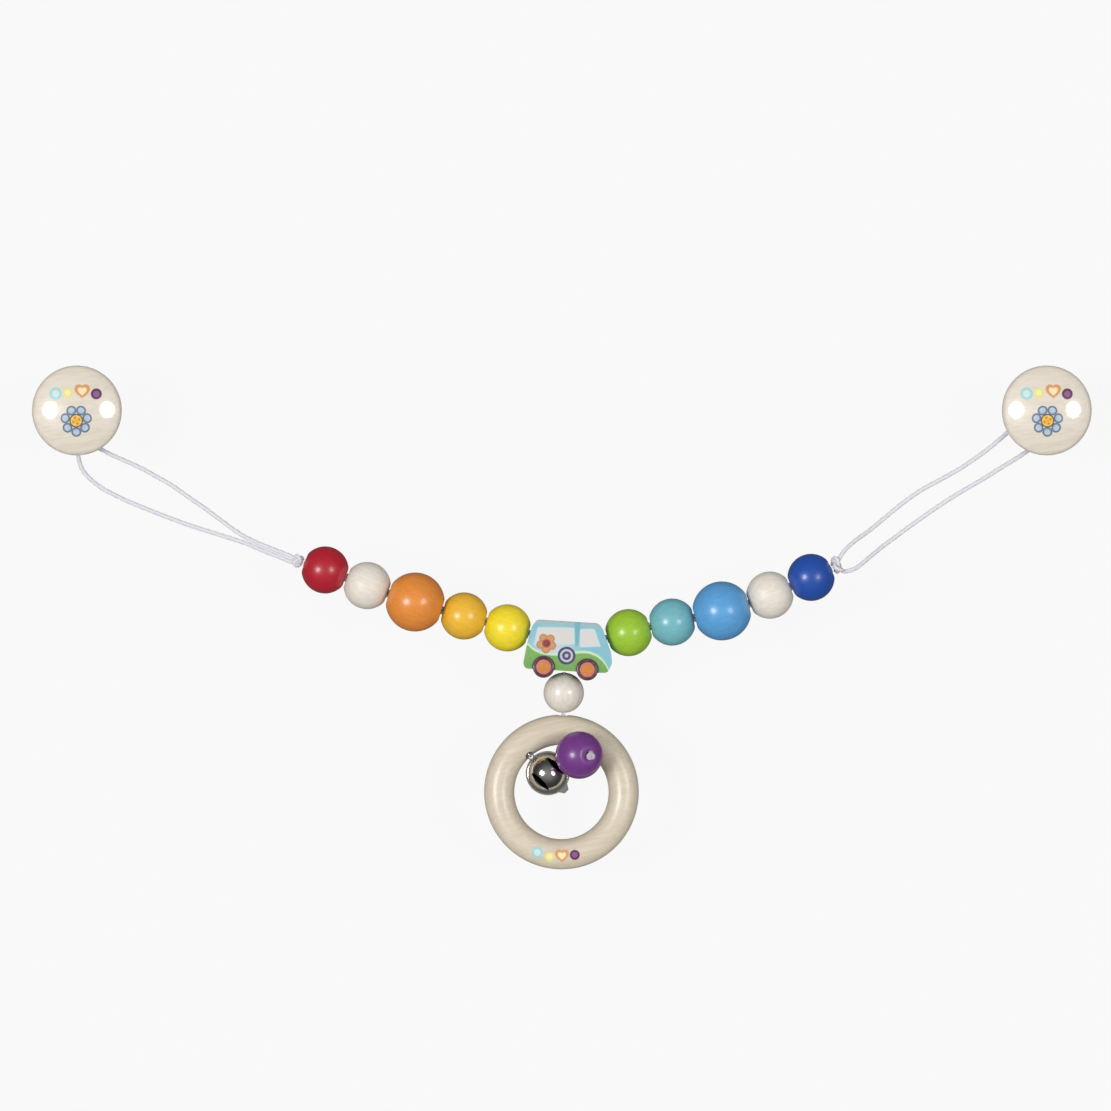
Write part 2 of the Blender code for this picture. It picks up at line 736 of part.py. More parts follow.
def build_base_plate(side, frame, finishes):
    """Bent sheet-metal plate with the fixed jaw's lip, two hinge ears and a strap slot."""
    tail = -TAIL_REACH
    path = [(tail, TAIL_RISE + SHEET / 2), (-TAIL_BEND, TAIL_RISE + SHEET / 2),
            (CRANK_LENGTH - TAIL_BEND, SHEET / 2),
            (PIN_PLACE + JAW_REACH + SEAT_GAP + SHEET / 2, SHEET / 2),
            (PIN_PLACE + JAW_REACH + SEAT_GAP + SHEET / 2, LIP_HEIGHT)]
    name = f"{side}_base_plate"
    outline = sheet_outline(path, SHEET)
    plate = put(name, clip_side(outline, -PLATE_WIDTH / 2, PLATE_WIDTH / 2, name), finishes["steel"],
                parent=frame)
    for index, low in enumerate((-PLATE_WIDTH / 2, PLATE_WIDTH / 2 - SHEET)):
        ear = clip_side(ear_outline(EAR_TOP, SHEET / 2, EAR_LENGTH / 2), low, low + SHEET, "ear")
        combine(plate, cutter(f"{name}_ear_{index + 1}", ear, parent=frame), "UNION")
    combine(plate, hinge_hole(f"{name}_pin_hole", frame, PIN_DIAMETER / 2 + PIN_CLEARANCE), "DIFFERENCE")
    inner = tail + STRAP_BAR
    half = STRAP_SLOT_WIDTH / 2
    outline = rounded([(-half, inner), (half, inner), (half, inner + STRAP_SLOT), (-half, inner + STRAP_SLOT)],
                      SHEET)
    slot = prism("slot", outline, -CUT_OVERRUN, EAR_TOP)
    combine(plate, cutter(f"{name}_slot", slot, parent=frame), "DIFFERENCE")


def build_lever(side, frame, finishes):
    """Sheet-metal lever: a top strip under the disc and two cheeks round the pin."""
    name = f"{side}_lever"
    half = LEVER_WIDTH / 2
    strip = rounded([(-half, -LEVER_TAIL), (half, -LEVER_TAIL), (half, PIN_PLACE + SHEET),
                     (-half, PIN_PLACE + SHEET)], SHEET)
    lever = put(name, prism(name, strip, LEVER_HEIGHT, LEVER_HEIGHT + SHEET), finishes["steel"], parent=frame)
    reach = EAR_LENGTH / 2 - SHEET / 3
    foot = PIN_HEIGHT - PIN_DIAMETER
    cheek = [(PIN_PLACE - reach, LEVER_HEIGHT + SHEET / 2), (PIN_PLACE - reach, PIN_HEIGHT)]
    cheek += [(PIN_PLACE - PIN_DIAMETER / 2, foot), (PIN_PLACE + PIN_DIAMETER / 2, foot)]
    cheek += [(PIN_PLACE + reach / 2, PIN_HEIGHT), (PIN_PLACE + reach / 2, LEVER_HEIGHT + SHEET / 2)]
    for index, low in enumerate((-half, half - SHEET)):
        wall = clip_side(cheek, low, low + SHEET, "cheek")
        combine(lever, cutter(f"{name}_cheek_{index + 1}", wall, parent=frame), "UNION")
    combine(lever, hinge_hole(f"{name}_pin_hole", frame, PIN_DIAMETER / 2 + PIN_CLEARANCE), "DIFFERENCE")
    hole = rod_mesh("rivet_hole", RIVET_DIAMETER / 2 + SEAT_GAP, 0.0, DISC_UNDERSIDE)
    combine(lever, cutter(f"{name}_rivet_hole", hole, parent=frame), "DIFFERENCE")


def build_jaw_insert(side, frame, finishes):
    """Moulded jaw between the lever's cheeks, with teeth that face the lip."""
    name = f"{side}_jaw_insert"
    tip = PIN_PLACE + JAW_REACH
    low = PIN_HEIGHT - JAW_THICKNESS / 2
    high = PIN_HEIGHT + JAW_THICKNESS / 2
    pitch = JAW_THICKNESS / 3
    teeth = []
    for index in range(3):
        teeth += [(tip, low + pitch * index), (tip - JAW_TOOTH, low + pitch * (index + 0.5))]
    back = PIN_PLACE - PIN_DIAMETER
    outline = [(back, low), *teeth, (tip, high), (PIN_PLACE + PIN_DIAMETER, high),
               (PIN_PLACE + PIN_DIAMETER / 2, LEVER_HEIGHT - SEAT_GAP), (back, LEVER_HEIGHT - SEAT_GAP)]
    half = LEVER_WIDTH / 2 - SHEET - SEAT_GAP
    jaw = put(name, clip_side(outline, -half, half, name), finishes["plastic"], parent=frame)
    combine(jaw, hinge_hole(f"{name}_pin_hole", frame, PIN_DIAMETER / 2 + PIN_CLEARANCE), "DIFFERENCE")


def build_clip(side, finishes):
    """One lever clip behind a domed wooden disc."""
    frame = empty(f"{side}_clip_frame", disc_centre(side))
    build_base_plate(side, frame, finishes)
    build_lever(side, frame, finishes)
    build_jaw_insert(side, frame, finishes)

    pin_end = PLATE_WIDTH / 2 + SEAT_GAP
    head = pin_end + PIN_HEAD_THICKNESS
    pin = [(0.0, head), (PIN_HEAD / 2, head), (PIN_HEAD / 2, pin_end), (PIN_DIAMETER / 2, pin_end),
           (PIN_DIAMETER / 2, -pin_end), (PIN_HEAD / 2, -pin_end), (PIN_HEAD / 2, -head), (0.0, -head)]
    put(f"{side}_hinge_pin", turned("hinge_pin", pin, SMALL_ROUND_SIDES), finishes["steel"],
        (0.0, PIN_PLACE, PIN_HEIGHT), frame, pointing(Vector((1.0, 0.0, 0.0))))

    rivet_head = LEVER_HEIGHT - SEAT_GAP
    rivet_foot = rivet_head - RIVET_HEAD_THICKNESS
    tip = DISC_UNDERSIDE + RIVET_DEPTH
    rivet = [(0.0, tip), (RIVET_DIAMETER / 2, tip), (RIVET_DIAMETER / 2, rivet_head),
             (RIVET_HEAD / 2, rivet_head), (RIVET_HEAD / 2, rivet_foot), (0.0, rivet_foot)]
    put(f"{side}_rivet", turned("rivet", rivet, SMALL_ROUND_SIDES), finishes["steel"], parent=frame)

    radius = DISC_DIAMETER / 2
    shoulder = radius - DISC_RIM_ROUND
    rim_top = DISC_UNDERSIDE + DISC_RIM
    sag = DISC_DOME_RADIUS - math.sqrt(DISC_DOME_RADIUS ** 2 - shoulder ** 2)
    apex = rim_top + DISC_RIM_ROUND / 2 + sag
    profile = [(0.0, apex)]
    for step in range(1, DOME_STEPS + 1):
        place = shoulder * step / DOME_STEPS
        drop = DISC_DOME_RADIUS - math.sqrt(DISC_DOME_RADIUS ** 2 - place ** 2)
        profile.append((place, apex - drop))
    hole = RIVET_DIAMETER / 2 + SEAT_GAP
    hole_top = tip + SEAT_GAP
    profile += [(radius, rim_top), (radius, DISC_UNDERSIDE + DISC_FOOT_INSET),
                (radius - DISC_FOOT_INSET, DISC_UNDERSIDE), (hole, DISC_UNDERSIDE), (hole, hole_top), (0.0, hole_top)]
    put(f"{side}_disc", turned("disc", profile, DISC_SIDES), finishes["natural_wood"], parent=frame)


def pendant_direction():
    """Direction of the pendant cord from the van to the ring."""
    level = Vector((-math.sin(PENDANT_LEAN), -math.cos(PENDANT_LEAN), 0.0))
    return level * math.cos(PENDANT_SLOPE) - Vector((0.0, 0.0, math.sin(PENDANT_SLOPE)))


def pendant_start():
    """The pendant's bend below the van: the bead then lies on the floor."""
    half = half_pitch(PENDANT_BEAD_DIAMETER, PENDANT_END_CUT, PENDANT_GAP)
    place = van_to_world(Vector((van_point((TIE_PLACE_SHARE, 0.0))[0], VAN_BOTTOM - PENDANT_GAP / 2)))
    place.z = PENDANT_BEAD_DIAMETER / 2 + half * math.sin(PENDANT_SLOPE)
    return place


def ring_joint():
    """The pendant's bend between its bead and the ring."""
    half = half_pitch(PENDANT_BEAD_DIAMETER, PENDANT_END_CUT, PENDANT_GAP)
    return pendant_start() + pendant_direction() * (2 * half)


def ring_centre():
    """World centre of the ring, which lies on the floor."""
    level = Vector((-math.sin(PENDANT_LEAN), -math.cos(PENDANT_LEAN), 0.0))
    centre = ring_joint() + level * (PENDANT_GAP / 2 + RING_DIAMETER / 2)
    centre.z = RING_SECTION / 2
    return centre


def ring_inner_mouth():
    """Where the ring's cord hole opens on its inside."""
    up = Vector((math.sin(PENDANT_LEAN), math.cos(PENDANT_LEAN), 0.0))
    return ring_centre() + up * (RING_DIAMETER / 2 - RING_SECTION)


def build_pendant(finishes):
    """The pendant cord and bead, and the ring's own stretch of cord."""
    start = pendant_start()
    direction = pendant_direction()
    half = half_pitch(PENDANT_BEAD_DIAMETER, PENDANT_END_CUT, PENDANT_GAP)
    route = [direction * (CORD_GAP / 2), direction * (2 * half - CORD_GAP / 2)]
    put("pendant_cord", strand("pendant_cord", route, CORD_DIAMETER), finishes["cord"], start)
    bead = bead_mesh("pendant_bead", PENDANT_BEAD_DIAMETER, PENDANT_END_CUT, SINGLE_BORE, SMALL_SIDES, SMALL_ARCS)
    put("pendant_bead", bead, finishes["natural_wood"], start + direction * half, turn=pointing(direction))
    joint = ring_joint()
    end = ring_inner_mouth()
    across = (end - joint).normalized()
    length = (end - joint).length
    route = [across * (CORD_GAP / 2), across * (length - CORD_GAP)]
    put("ring_cord", strand("ring_cord", route, CORD_DIAMETER), finishes["cord"], joint)


def bell_height():
    """Height of the bell's seam above the floor."""
    return BELL_DIAMETER / 2 + BELL_REST_GAP


def bell_pivot():
    """World place of the screw eye's wire, which the bell's lug hangs on."""
    tube = RING_SECTION / 2
    middle = RING_DIAMETER / 2 - tube
    wall = middle - math.sqrt(tube ** 2 - (bell_height() - tube) ** 2)
    reach = wall - BELL_EYE_INSET
    place = ring_centre() + Vector((math.cos(BELL_EYE_PLACE), math.sin(BELL_EYE_PLACE), 0.0)) * reach
    place.z = bell_height()
    return place


def bell_centre():
    """World centre of the bell."""
    heading = Vector((math.cos(BELL_HEADING), math.sin(BELL_HEADING), 0.0))
    return bell_pivot() + heading * LUG_REACH


def build_ring(finishes):
    """The natural wooden ring, drilled for its cord and for the bell's screw eye."""
    centre = ring_centre()
    tube = RING_SECTION / 2
    middle = RING_DIAMETER / 2 - tube
    profile = arc((middle, 0.0), tube, 0.0, -math.tau * (SECTION_SIDES - 1) / SECTION_SIDES, SECTION_SIDES - 1)
    ring = put("wooden_ring", turned("wooden_ring", profile, RING_SIDES), finishes["natural_wood"], centre)
    mouth = ring_inner_mouth()
    up = (mouth - centre).normalized()
    hole = rod_mesh("cord_hole", RING_HOLE_RADIUS, -RING_SECTION, 2 * RING_SECTION)
    combine(ring, cutter("cord_hole", hole, mouth, turn=pointing(up)), "DIFFERENCE")
    pivot = bell_pivot()
    out = Vector((math.cos(BELL_EYE_PLACE), math.sin(BELL_EYE_PLACE), 0.0))
    pocket_depth = 2 * EYE_RADIUS + EYE_WIRE + SEAT_GAP
    shank_end = pocket_depth + EYE_SHANK
    pocket = [(0.0, shank_end), (EYE_WIRE / 2 + SEAT_GAP, shank_end), (EYE_WIRE / 2 + SEAT_GAP, pocket_depth),
              (POCKET_RADIUS, pocket_depth), (POCKET_RADIUS, -POCKET_RADIUS), (0.0, -POCKET_RADIUS)]
    cut = turned("eye_pocket", pocket, SMALL_ROUND_SIDES)
    combine(ring, cutter("eye_pocket", cut, pivot, turn=pointing(out)), "DIFFERENCE")

    # The screw eye's wire runs out of its shank and round the loop, in the upright plane
    loop_centre = out * EYE_RADIUS
    route = [out * (shank_end - SEAT_GAP), out * (2 * EYE_RADIUS + EYE_WIRE / 2)]
    for x, z in arc((0.0, 0.0), EYE_RADIUS, 0.0, EYE_TURN, SMALL_ROUND_SIDES)[1:]:
        route.append(loop_centre + out * x + Vector((0.0, 0.0, z)))
    put("screw_eye", strand("screw_eye", route, EYE_WIRE), finishes["bell_metal"], pivot)


def bell_shell(name):
    """One pressed half of the bell with its flange, dome towards +Z."""
    outer = BELL_DIAMETER / 2
    inner = outer - BELL_WALL
    seam = SEAT_GAP / 2
    rise = seam + BELL_WALL
    flange = outer + BELL_FLANGE
    profile = []
    top = math.pi / 2
    low = math.asin(rise / outer)
    for step in range(BELL_ARCS + 1):
        angle = top + (low - top) * step / BELL_ARCS
        profile.append((outer * math.cos(angle) if step else 0.0, outer * math.sin(angle)))
    profile += [(flange, rise), (flange, seam)]
    low = math.asin(seam / inner)
    for step in range(BELL_ARCS + 1):
        angle = low + (top - low) * step / BELL_ARCS
        profile.append((inner * math.cos(angle) if step < BELL_ARCS else 0.0, inner * math.sin(angle)))
    return turned(name, profile, BELL_SIDES)


def build_bell(finishes):
    """Jingle bell: two pressed shells with slots, a hanging lug, a tab and a loose clapper."""
    frame = empty("bell_frame", bell_centre(), BELL_HEADING)
    seam = SEAT_GAP / 2
    rise = seam + BELL_WALL
    flange = BELL_DIAMETER / 2 + BELL_FLANGE / 2
    half = LUG_WIDTH / 2
    lug = [(-flange, -half), *arc((-LUG_REACH, 0.0), half, -math.pi / 2, -math.pi, CORNER_STEPS * 2),
           (-flange, half)]
    tab = [(flange, -TAB_WIDTH / 2), (TAB_REACH, -TAB_TIP_WIDTH / 2), (TAB_REACH, TAB_TIP_WIDTH / 2),
           (flange, TAB_WIDTH / 2)]
    for name, flip in (("bell_front_shell", 0.0), ("bell_back_shell", math.pi)):
        turn = Matrix.Rotation(flip, 4, "X")
        shell = put(name, bell_shell(name), finishes["bell_metal"], parent=frame, turn=turn)
        for part, outline in (("lug", lug), ("tab", tab)):
            data = prism(part, outline, seam, rise)
            combine(shell, cutter(f"{name}_{part}", data, parent=frame, turn=turn), "UNION")
        hole = rod_mesh("lug_hole", LUG_HOLE, -BELL_DIAMETER, BELL_DIAMETER)
        combine(shell, cutter(f"{name}_lug_hole", hole, (-LUG_REACH, 0.0, 0.0), frame), "DIFFERENCE")
        for index, side in enumerate((-1.0, 1.0)):
            reach = SLOT_LENGTH / 2
            width = SLOT_WIDTH / 2
            outline = rounded([(-reach, -width), (reach, -width), (reach, width), (-reach, width)], width)
            slot = prism("slot", outline, BELL_DIAMETER / 4, BELL_DIAMETER)
            place = turn @ Vector((0.0, side * SLOT_SPREAD, 0.0))
            combine(shell, cutter(f"{name}_slot_{index + 1}", slot, place, frame, turn), "DIFFERENCE")
    low = BELL_WALL + SEAT_GAP + CLAPPER_DIAMETER / 2 - BELL_DIAMETER / 2
    radius = CLAPPER_DIAMETER / 2
    ball = [(radius * math.sin(math.pi * step / SMALL_ARCS), radius * math.cos(math.pi * step / SMALL_ARCS))
            for step in range(SMALL_ARCS + 1)]
    ball[0] = (0.0, radius)
    ball[-1] = (0.0, -radius)
    put("bell_clapper", turned("bell_clapper", ball, SMALL_ROUND_SIDES), finishes["steel"], (0.0, 0.0, low), frame)


def dangle_axis():
    """Bore direction of the purple bead, up and to the right."""
    return Vector((math.sin(DANGLE_TILT), 0.0, math.cos(DANGLE_TILT)))


def dangle_centre():
    """World centre of the purple bead, which lies against the bell and beside the ring."""
    centre = ring_centre() + Vector((math.cos(DANGLE_PLACE), math.sin(DANGLE_PLACE), 0.0)) * DANGLE_RADIUS
    bell = bell_centre()
    reach = SMALL_BEAD_DIAMETER / 2 + BELL_DIAMETER / 2 + DANGLE_CLEARANCE
    across = math.hypot(centre.x - bell.x, centre.y - bell.y)
    centre.z = bell.z + math.sqrt(reach ** 2 - across ** 2)
    return centre


def build_dangle(finishes):
    """The purple bead on the tail of the ring's cord, with a knot on its face."""
    start = ring_inner_mouth()
    centre = dangle_centre()
    axis = dangle_axis()
    reach = SMALL_BEAD_DIAMETER / 2 - BEAD_END_CUT
    below = centre - axis * (reach + CORD_DIAMETER / 2)
    inward = (ring_centre() - start).normalized()
    route = [start, start + inward * CORD_DIAMETER, below, centre - axis * (reach / 2), centre,
             centre + axis * (reach / 2), centre + axis * reach]
    points = smooth_route(route, CORD_POINT_STEP)
    put("dangle_cord", strand("dangle_cord", [point - start for point in points], CORD_DIAMETER),
        finishes["cord"], start)
    bead = bead_mesh("purple_bead", SMALL_BEAD_DIAMETER, BEAD_END_CUT, SINGLE_BORE, SMALL_SIDES, SMALL_ARCS)
    put("purple_bead", bead, finishes["purple_bead"], centre, turn=pointing(axis, Vector((1.0, 0.0, 0.0))))
    seat = centre + axis * (reach + SEAT_GAP + DANGLE_KNOT_THICKNESS / 2)
    knot = knot_mesh("dangle_knot", DANGLE_KNOT_THICKNESS, DANGLE_KNOT_WIDTH)
    put("dangle_knot", knot, finishes["cord"], seat, turn=pointing(axis, Vector((1.0, 0.0, 0.0))))


def make_finishes():
    """All materials by name."""
    finishes = {
        "van": material("van", (0.33, 0.62, 0.66), 0.35),
        "cord": material("cord", (0.75, 0.72, 0.78), 0.85),
        "natural_wood": material("natural_wood", (0.70, 0.63, 0.51), 0.4),
        "purple_bead": material("purple_bead", (0.22, 0.04, 0.30), 0.25),
        "steel": material("steel", (0.62, 0.63, 0.65), 0.3, 1.0),
        "bell_metal": material("bell_metal", (0.70, 0.69, 0.66), 0.12, 1.0),
        "plastic": material("plastic", (0.85, 0.85, 0.83), 0.5),
    }
    for name, _, colour in (*LEFT_BEADS, *RIGHT_BEADS):
        finishes[name] = material(name, colour, 0.25)
    material("cutter", (1.0, 0.0, 1.0), 1.0)
    return finishes


def main():
    """Clear the scene and build the toy."""
    for thing in list(bpy.data.objects):
        bpy.data.objects.remove(thing, do_unlink=True)
    finishes = make_finishes()
    build_van(finishes)
    for side in ("left", "right"):
        build_string(side, finishes)
        build_loop(side, finishes)
        build_clip(side, finishes)
    build_pendant(finishes)
    build_ring(finishes)
    build_bell(finishes)
    build_dangle(finishes)


main()
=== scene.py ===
"""Looks of a pram chain toy: lacquered beads, a painted van, a wooden ring, a bell, cords and clips.

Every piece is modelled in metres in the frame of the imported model, rides on one
of its bodies and stands for one or more of its nodes.
"""

import json
import logging
import math
from collections.abc import Callable, Iterator, Sequence
from contextlib import contextmanager
from dataclasses import dataclass, field
from enum import Enum

import bpy
from mathutils import Matrix, Vector

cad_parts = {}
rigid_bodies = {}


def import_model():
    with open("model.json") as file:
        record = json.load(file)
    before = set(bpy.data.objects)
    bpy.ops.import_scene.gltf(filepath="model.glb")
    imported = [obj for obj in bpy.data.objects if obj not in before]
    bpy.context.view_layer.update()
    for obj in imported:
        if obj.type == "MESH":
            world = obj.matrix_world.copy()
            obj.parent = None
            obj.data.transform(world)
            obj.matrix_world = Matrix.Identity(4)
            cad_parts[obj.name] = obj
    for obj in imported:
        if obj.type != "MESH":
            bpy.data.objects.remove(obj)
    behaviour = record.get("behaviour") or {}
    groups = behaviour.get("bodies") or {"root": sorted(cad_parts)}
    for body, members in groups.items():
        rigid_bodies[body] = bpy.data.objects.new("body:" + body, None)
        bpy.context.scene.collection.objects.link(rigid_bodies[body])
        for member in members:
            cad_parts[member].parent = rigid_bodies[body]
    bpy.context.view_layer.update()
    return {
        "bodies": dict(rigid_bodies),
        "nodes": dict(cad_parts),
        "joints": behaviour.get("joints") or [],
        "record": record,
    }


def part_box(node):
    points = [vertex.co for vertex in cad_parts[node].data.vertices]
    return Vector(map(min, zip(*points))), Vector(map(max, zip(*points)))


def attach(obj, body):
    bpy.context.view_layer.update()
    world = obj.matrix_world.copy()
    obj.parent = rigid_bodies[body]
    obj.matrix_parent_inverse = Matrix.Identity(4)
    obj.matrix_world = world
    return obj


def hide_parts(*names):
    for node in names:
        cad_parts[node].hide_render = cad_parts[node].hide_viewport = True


LOG = logging.getLogger("pram_chain")
MM = 0.001
DEG = math.pi / 180.0
BORE = 1.6 * MM
STRING_BORE = 2.63 * MM

Colour = tuple[float, float, float]
Pair = tuple[float, float]
Triple = tuple[float, float, float]
Route = Sequence[Vector]
Socket = bpy.types.NodeSocket
Tree = bpy.types.NodeTree
Piece = bpy.types.Object


def paint(red: int, green: int, blue: int) -> Colour:
    """Turn a colour as a screen shows it, 0 to 255, into the shader's linear values."""
    shares = [value / 255.0 for value in (red, green, blue)]
    return tuple(share / 12.92 if share <= 0.04045 else ((share + 0.055) / 1.055) ** 2.4 for share in shares)


@dataclass(frozen=True)
class Field:
    """A value that changes over a surface and takes ordinary arithmetic."""

    tree: Tree
    socket: Socket

    def work(self, operation: str, *others: "Field | float", clamp: bool = False) -> "Field":
        """Feed this value and others through one Math node.

        Args:
            operation: The Math node's operation.
            *others: The other values or numbers.
            clamp: Whether the result stays between 0 and 1.

        Returns:
            The result.
        """
        node = self.tree.nodes.new("ShaderNodeMath")
        node.operation = operation
        node.use_clamp = clamp
        for index, value in enumerate((self, *others)):
            if isinstance(value, Field):
                self.tree.links.new(value.socket, node.inputs[index])
            else:
                node.inputs[index].default_value = value
        return Field(self.tree, node.outputs[0])

    def __add__(self, other: "Field | float") -> "Field":
        """Add."""
        return self.work("ADD", other)

    def __sub__(self, other: "Field | float") -> "Field":
        """Subtract."""
        return self.work("SUBTRACT", other)

    def __mul__(self, other: "Field | float") -> "Field":
        """Multiply."""
        return self.work("MULTIPLY", other)

    def size(self) -> "Field":
        """Value without its sign."""
        return self.work("ABSOLUTE")

    def most(self, other: "Field | float") -> "Field":
        """Higher of two values."""
        return self.work("MAXIMUM", other)

    def scaled(self, factor: float, offset: float = 0.0) -> "Field":
        """Value times a factor plus an offset."""
        return self.work("MULTIPLY_ADD", factor, offset)

    def limited(self, factor: float) -> "Field":
        """Value times a factor, kept between 0 and 1."""
        return self.work("MULTIPLY", factor, clamp=True)

    def inside(self, soft: float) -> "Field":
        """Mask that is 1 where the value is below 0, with an edge of the given softness."""
        return self.work("MULTIPLY_ADD", -1.0 / soft, 0.5, clamp=True)

    def hypot(self, other: "Field") -> "Field":
        """Length whose two square sides are this value and another one."""
        return (self.work("POWER", 2.0) + other.work("POWER", 2.0)).work("SQRT")


class Place:
    """Coordinates on a surface, in millimetres of a piece's own frame."""

    def __init__(self, tree: Tree, vector: Socket) -> None:
        """Split a vector socket.

        Args:
            tree: The node tree that the socket is in.
            vector: The socket.
        """
        split = tree.nodes.new("ShaderNodeSeparateXYZ")
        tree.links.new(vector, split.inputs[0])
        self.vector = vector
        self.x, self.y, self.z = (Field(tree, split.outputs[index]) for index in range(3))

    def distance(self, x: float, y: float) -> Field:
        """Distance from a line that runs along the local Z."""
        return (self.x - x).hypot(self.y - y)

    def angle(self, x: float, y: float) -> Field:
        """Angle about a line that runs along the local Z."""
        return (self.y - y).work("ARCTAN2", self.x - x)


def noise(tree: Tree, vector: Socket, scale: float, detail: float = 2.0,
          stretch: Triple = (1.0, 1.0, 1.0), roughness: float = 0.5) -> Field:
    """Add a noise pattern.

    Args:
        tree: The node tree.
        vector: Where the pattern is read.
        scale: Features per unit.
        detail: Finer layers.
        stretch: Factors of the three directions.
        roughness: Strength of the finer layers.

    Returns:
        The pattern from 0 to 1.
    """
    mapping = tree.nodes.new("ShaderNodeMapping")
    mapping.inputs["Scale"].default_value = stretch
    tree.links.new(vector, mapping.inputs["Vector"])
    pattern = tree.nodes.new("ShaderNodeTexNoise")
    for name, value in (("Scale", scale), ("Detail", detail), ("Roughness", roughness)):
        pattern.inputs[name].default_value = value
    tree.links.new(mapping.outputs[0], pattern.inputs["Vector"])
    return Field(tree, pattern.outputs["Fac"])


class SharedEffect:
    """A shader node group that several finishes use, built at its first use."""

    def __init__(self, name: str, outputs: Sequence[str],
                 build: Callable[[Tree, Socket], Sequence[Field]]) -> None:
        """Remember what the group is made of.

        Args:
            name: The group's name.
            outputs: Output names.
            build: Makes the outputs, in that order, from the tree and the group's vector.
        """
        self.name = name
        self.outputs = outputs
        self.build = build
        self.tree: Tree | None = None

    def group(self) -> Tree:
        """Give the node group.

        Returns:
            Its tree.
        """
        if self.tree is None:
            self.tree = bpy.data.node_groups.new(self.name, "ShaderNodeTree")
            sockets = self.tree.interface
            sockets.new_socket(name="Vector", in_out="INPUT", socket_type="NodeSocketVector")
            for name in self.outputs:
                sockets.new_socket(name=name, in_out="OUTPUT", socket_type="NodeSocketFloat")
            entry = self.tree.nodes.new("NodeGroupInput")
            leave = self.tree.nodes.new("NodeGroupOutput")
            for name, value in zip(self.outputs, self.build(self.tree, entry.outputs["Vector"])):
                self.tree.links.new(value.socket, leave.inputs[name])
        return self.tree


def build_wood(tree: Tree, vector: Socket) -> tuple[Field, Field]:
    """Make the beech effect: growth bands, long streaks and short dark flecks along local Z.

    Args:
        tree: The group's tree.
        vector: Where it is read, in millimetres.

    Returns:
        The shade and the height.
    """
    bands = noise(tree, vector, 0.16, 2.0, (1.0, 1.0, 0.10), 0.55)
    rings = (bands * 46.0).work("SINE").scaled(0.5, 0.5)
    streaks = noise(tree, vector, 1.6, 4.0, (1.0, 1.0, 0.07), 0.6)
    flecks = noise(tree, vector, 4.2, 2.0, (1.0, 1.0, 0.22), 0.7)
    marks = (flecks - 0.63).limited(9.0)
    return rings * 0.35 + streaks * 0.65 - marks * 0.35, streaks * 0.6 - marks * 0.8


def build_lacquer(tree: Tree, vector: Socket) -> tuple[Field, Field, Field]:
    """Make the lacquer effect: cloudy gloss, dust specks and a faint orange peel.

    Args:
        tree: The group's tree.
        vector: Where it is read, in millimetres.

    Returns:
        The gloss, the tone and the height.
    """
    clouds = noise(tree, vector, 0.22, 3.0)
    peel = noise(tree, vector, 1.3, 2.0)
    dust = (noise(tree, vector, 2.6, 1.0) - 0.70).limited(12.0)
    return clouds.scaled(0.6, -0.3) + dust * 0.4, clouds.scaled(1.0, -0.5), peel * 0.5 + dust * 0.9


def build_braid(tree: Tree, vector: Socket) -> tuple[Field, Field]:
    """Make the braid effect: two crossing sets of yarns on a UV map in turns and lays.

    Args:
        tree: The group's tree.
        vector: The UV map's place.

    Returns:
        The height, and the shade that is painted darker between the yarns and paler on their crowns.
    """
    place = Place(tree, vector)
    along, around = place.x, place.y * 4.0
    first = ((along + around) * math.pi).work("SINE").size()
    second = ((along - around) * math.pi).work("SINE").size()
    over = ((along * math.pi).work("SINE") * (around * math.pi).work("SINE")).scaled(6.0, 0.5)
    over = over.work("MINIMUM", 1.0).most(0.0)
    yarn = first * over + second * (over * -1.0 + 1.0)
    fuzz = noise(tree, vector, 9.0, 3.0, (1.0, 12.0, 1.0), 0.7)
    return yarn * 0.8 + fuzz * 0.35, yarn.work("POWER", 0.6) * 0.7 + fuzz * 0.3


def build_scuffs(tree: Tree, vector: Socket) -> tuple[Field, Field]:
    """Make the scuff effect: fine brushed lines along local X and a few deeper scratches.

    Args:
        tree: The group's tree.
        vector: Where it is read, in millimetres.

    Returns:
        The lines and the scratches.
    """
    lines = noise(tree, vector, 5.0, 3.0, (0.05, 1.0, 1.0), 0.7)
    scratches = noise(tree, vector, 1.7, 1.0, (0.25, 1.6, 1.0), 0.4)
    return lines, ((scratches - 0.5).size() * -40.0 + 1.0).most(0.0)


WOOD = SharedEffect("beech_grain", ("Shade", "Height"), build_wood)
LACQUER = SharedEffect("lacquer_film", ("Gloss", "Tone", "Height"), build_lacquer)
BRAID = SharedEffect("cord_braid", ("Height", "Shade"), build_braid)
SCUFFS = SharedEffect("metal_scuffs", ("Lines", "Scratches"), build_scuffs)


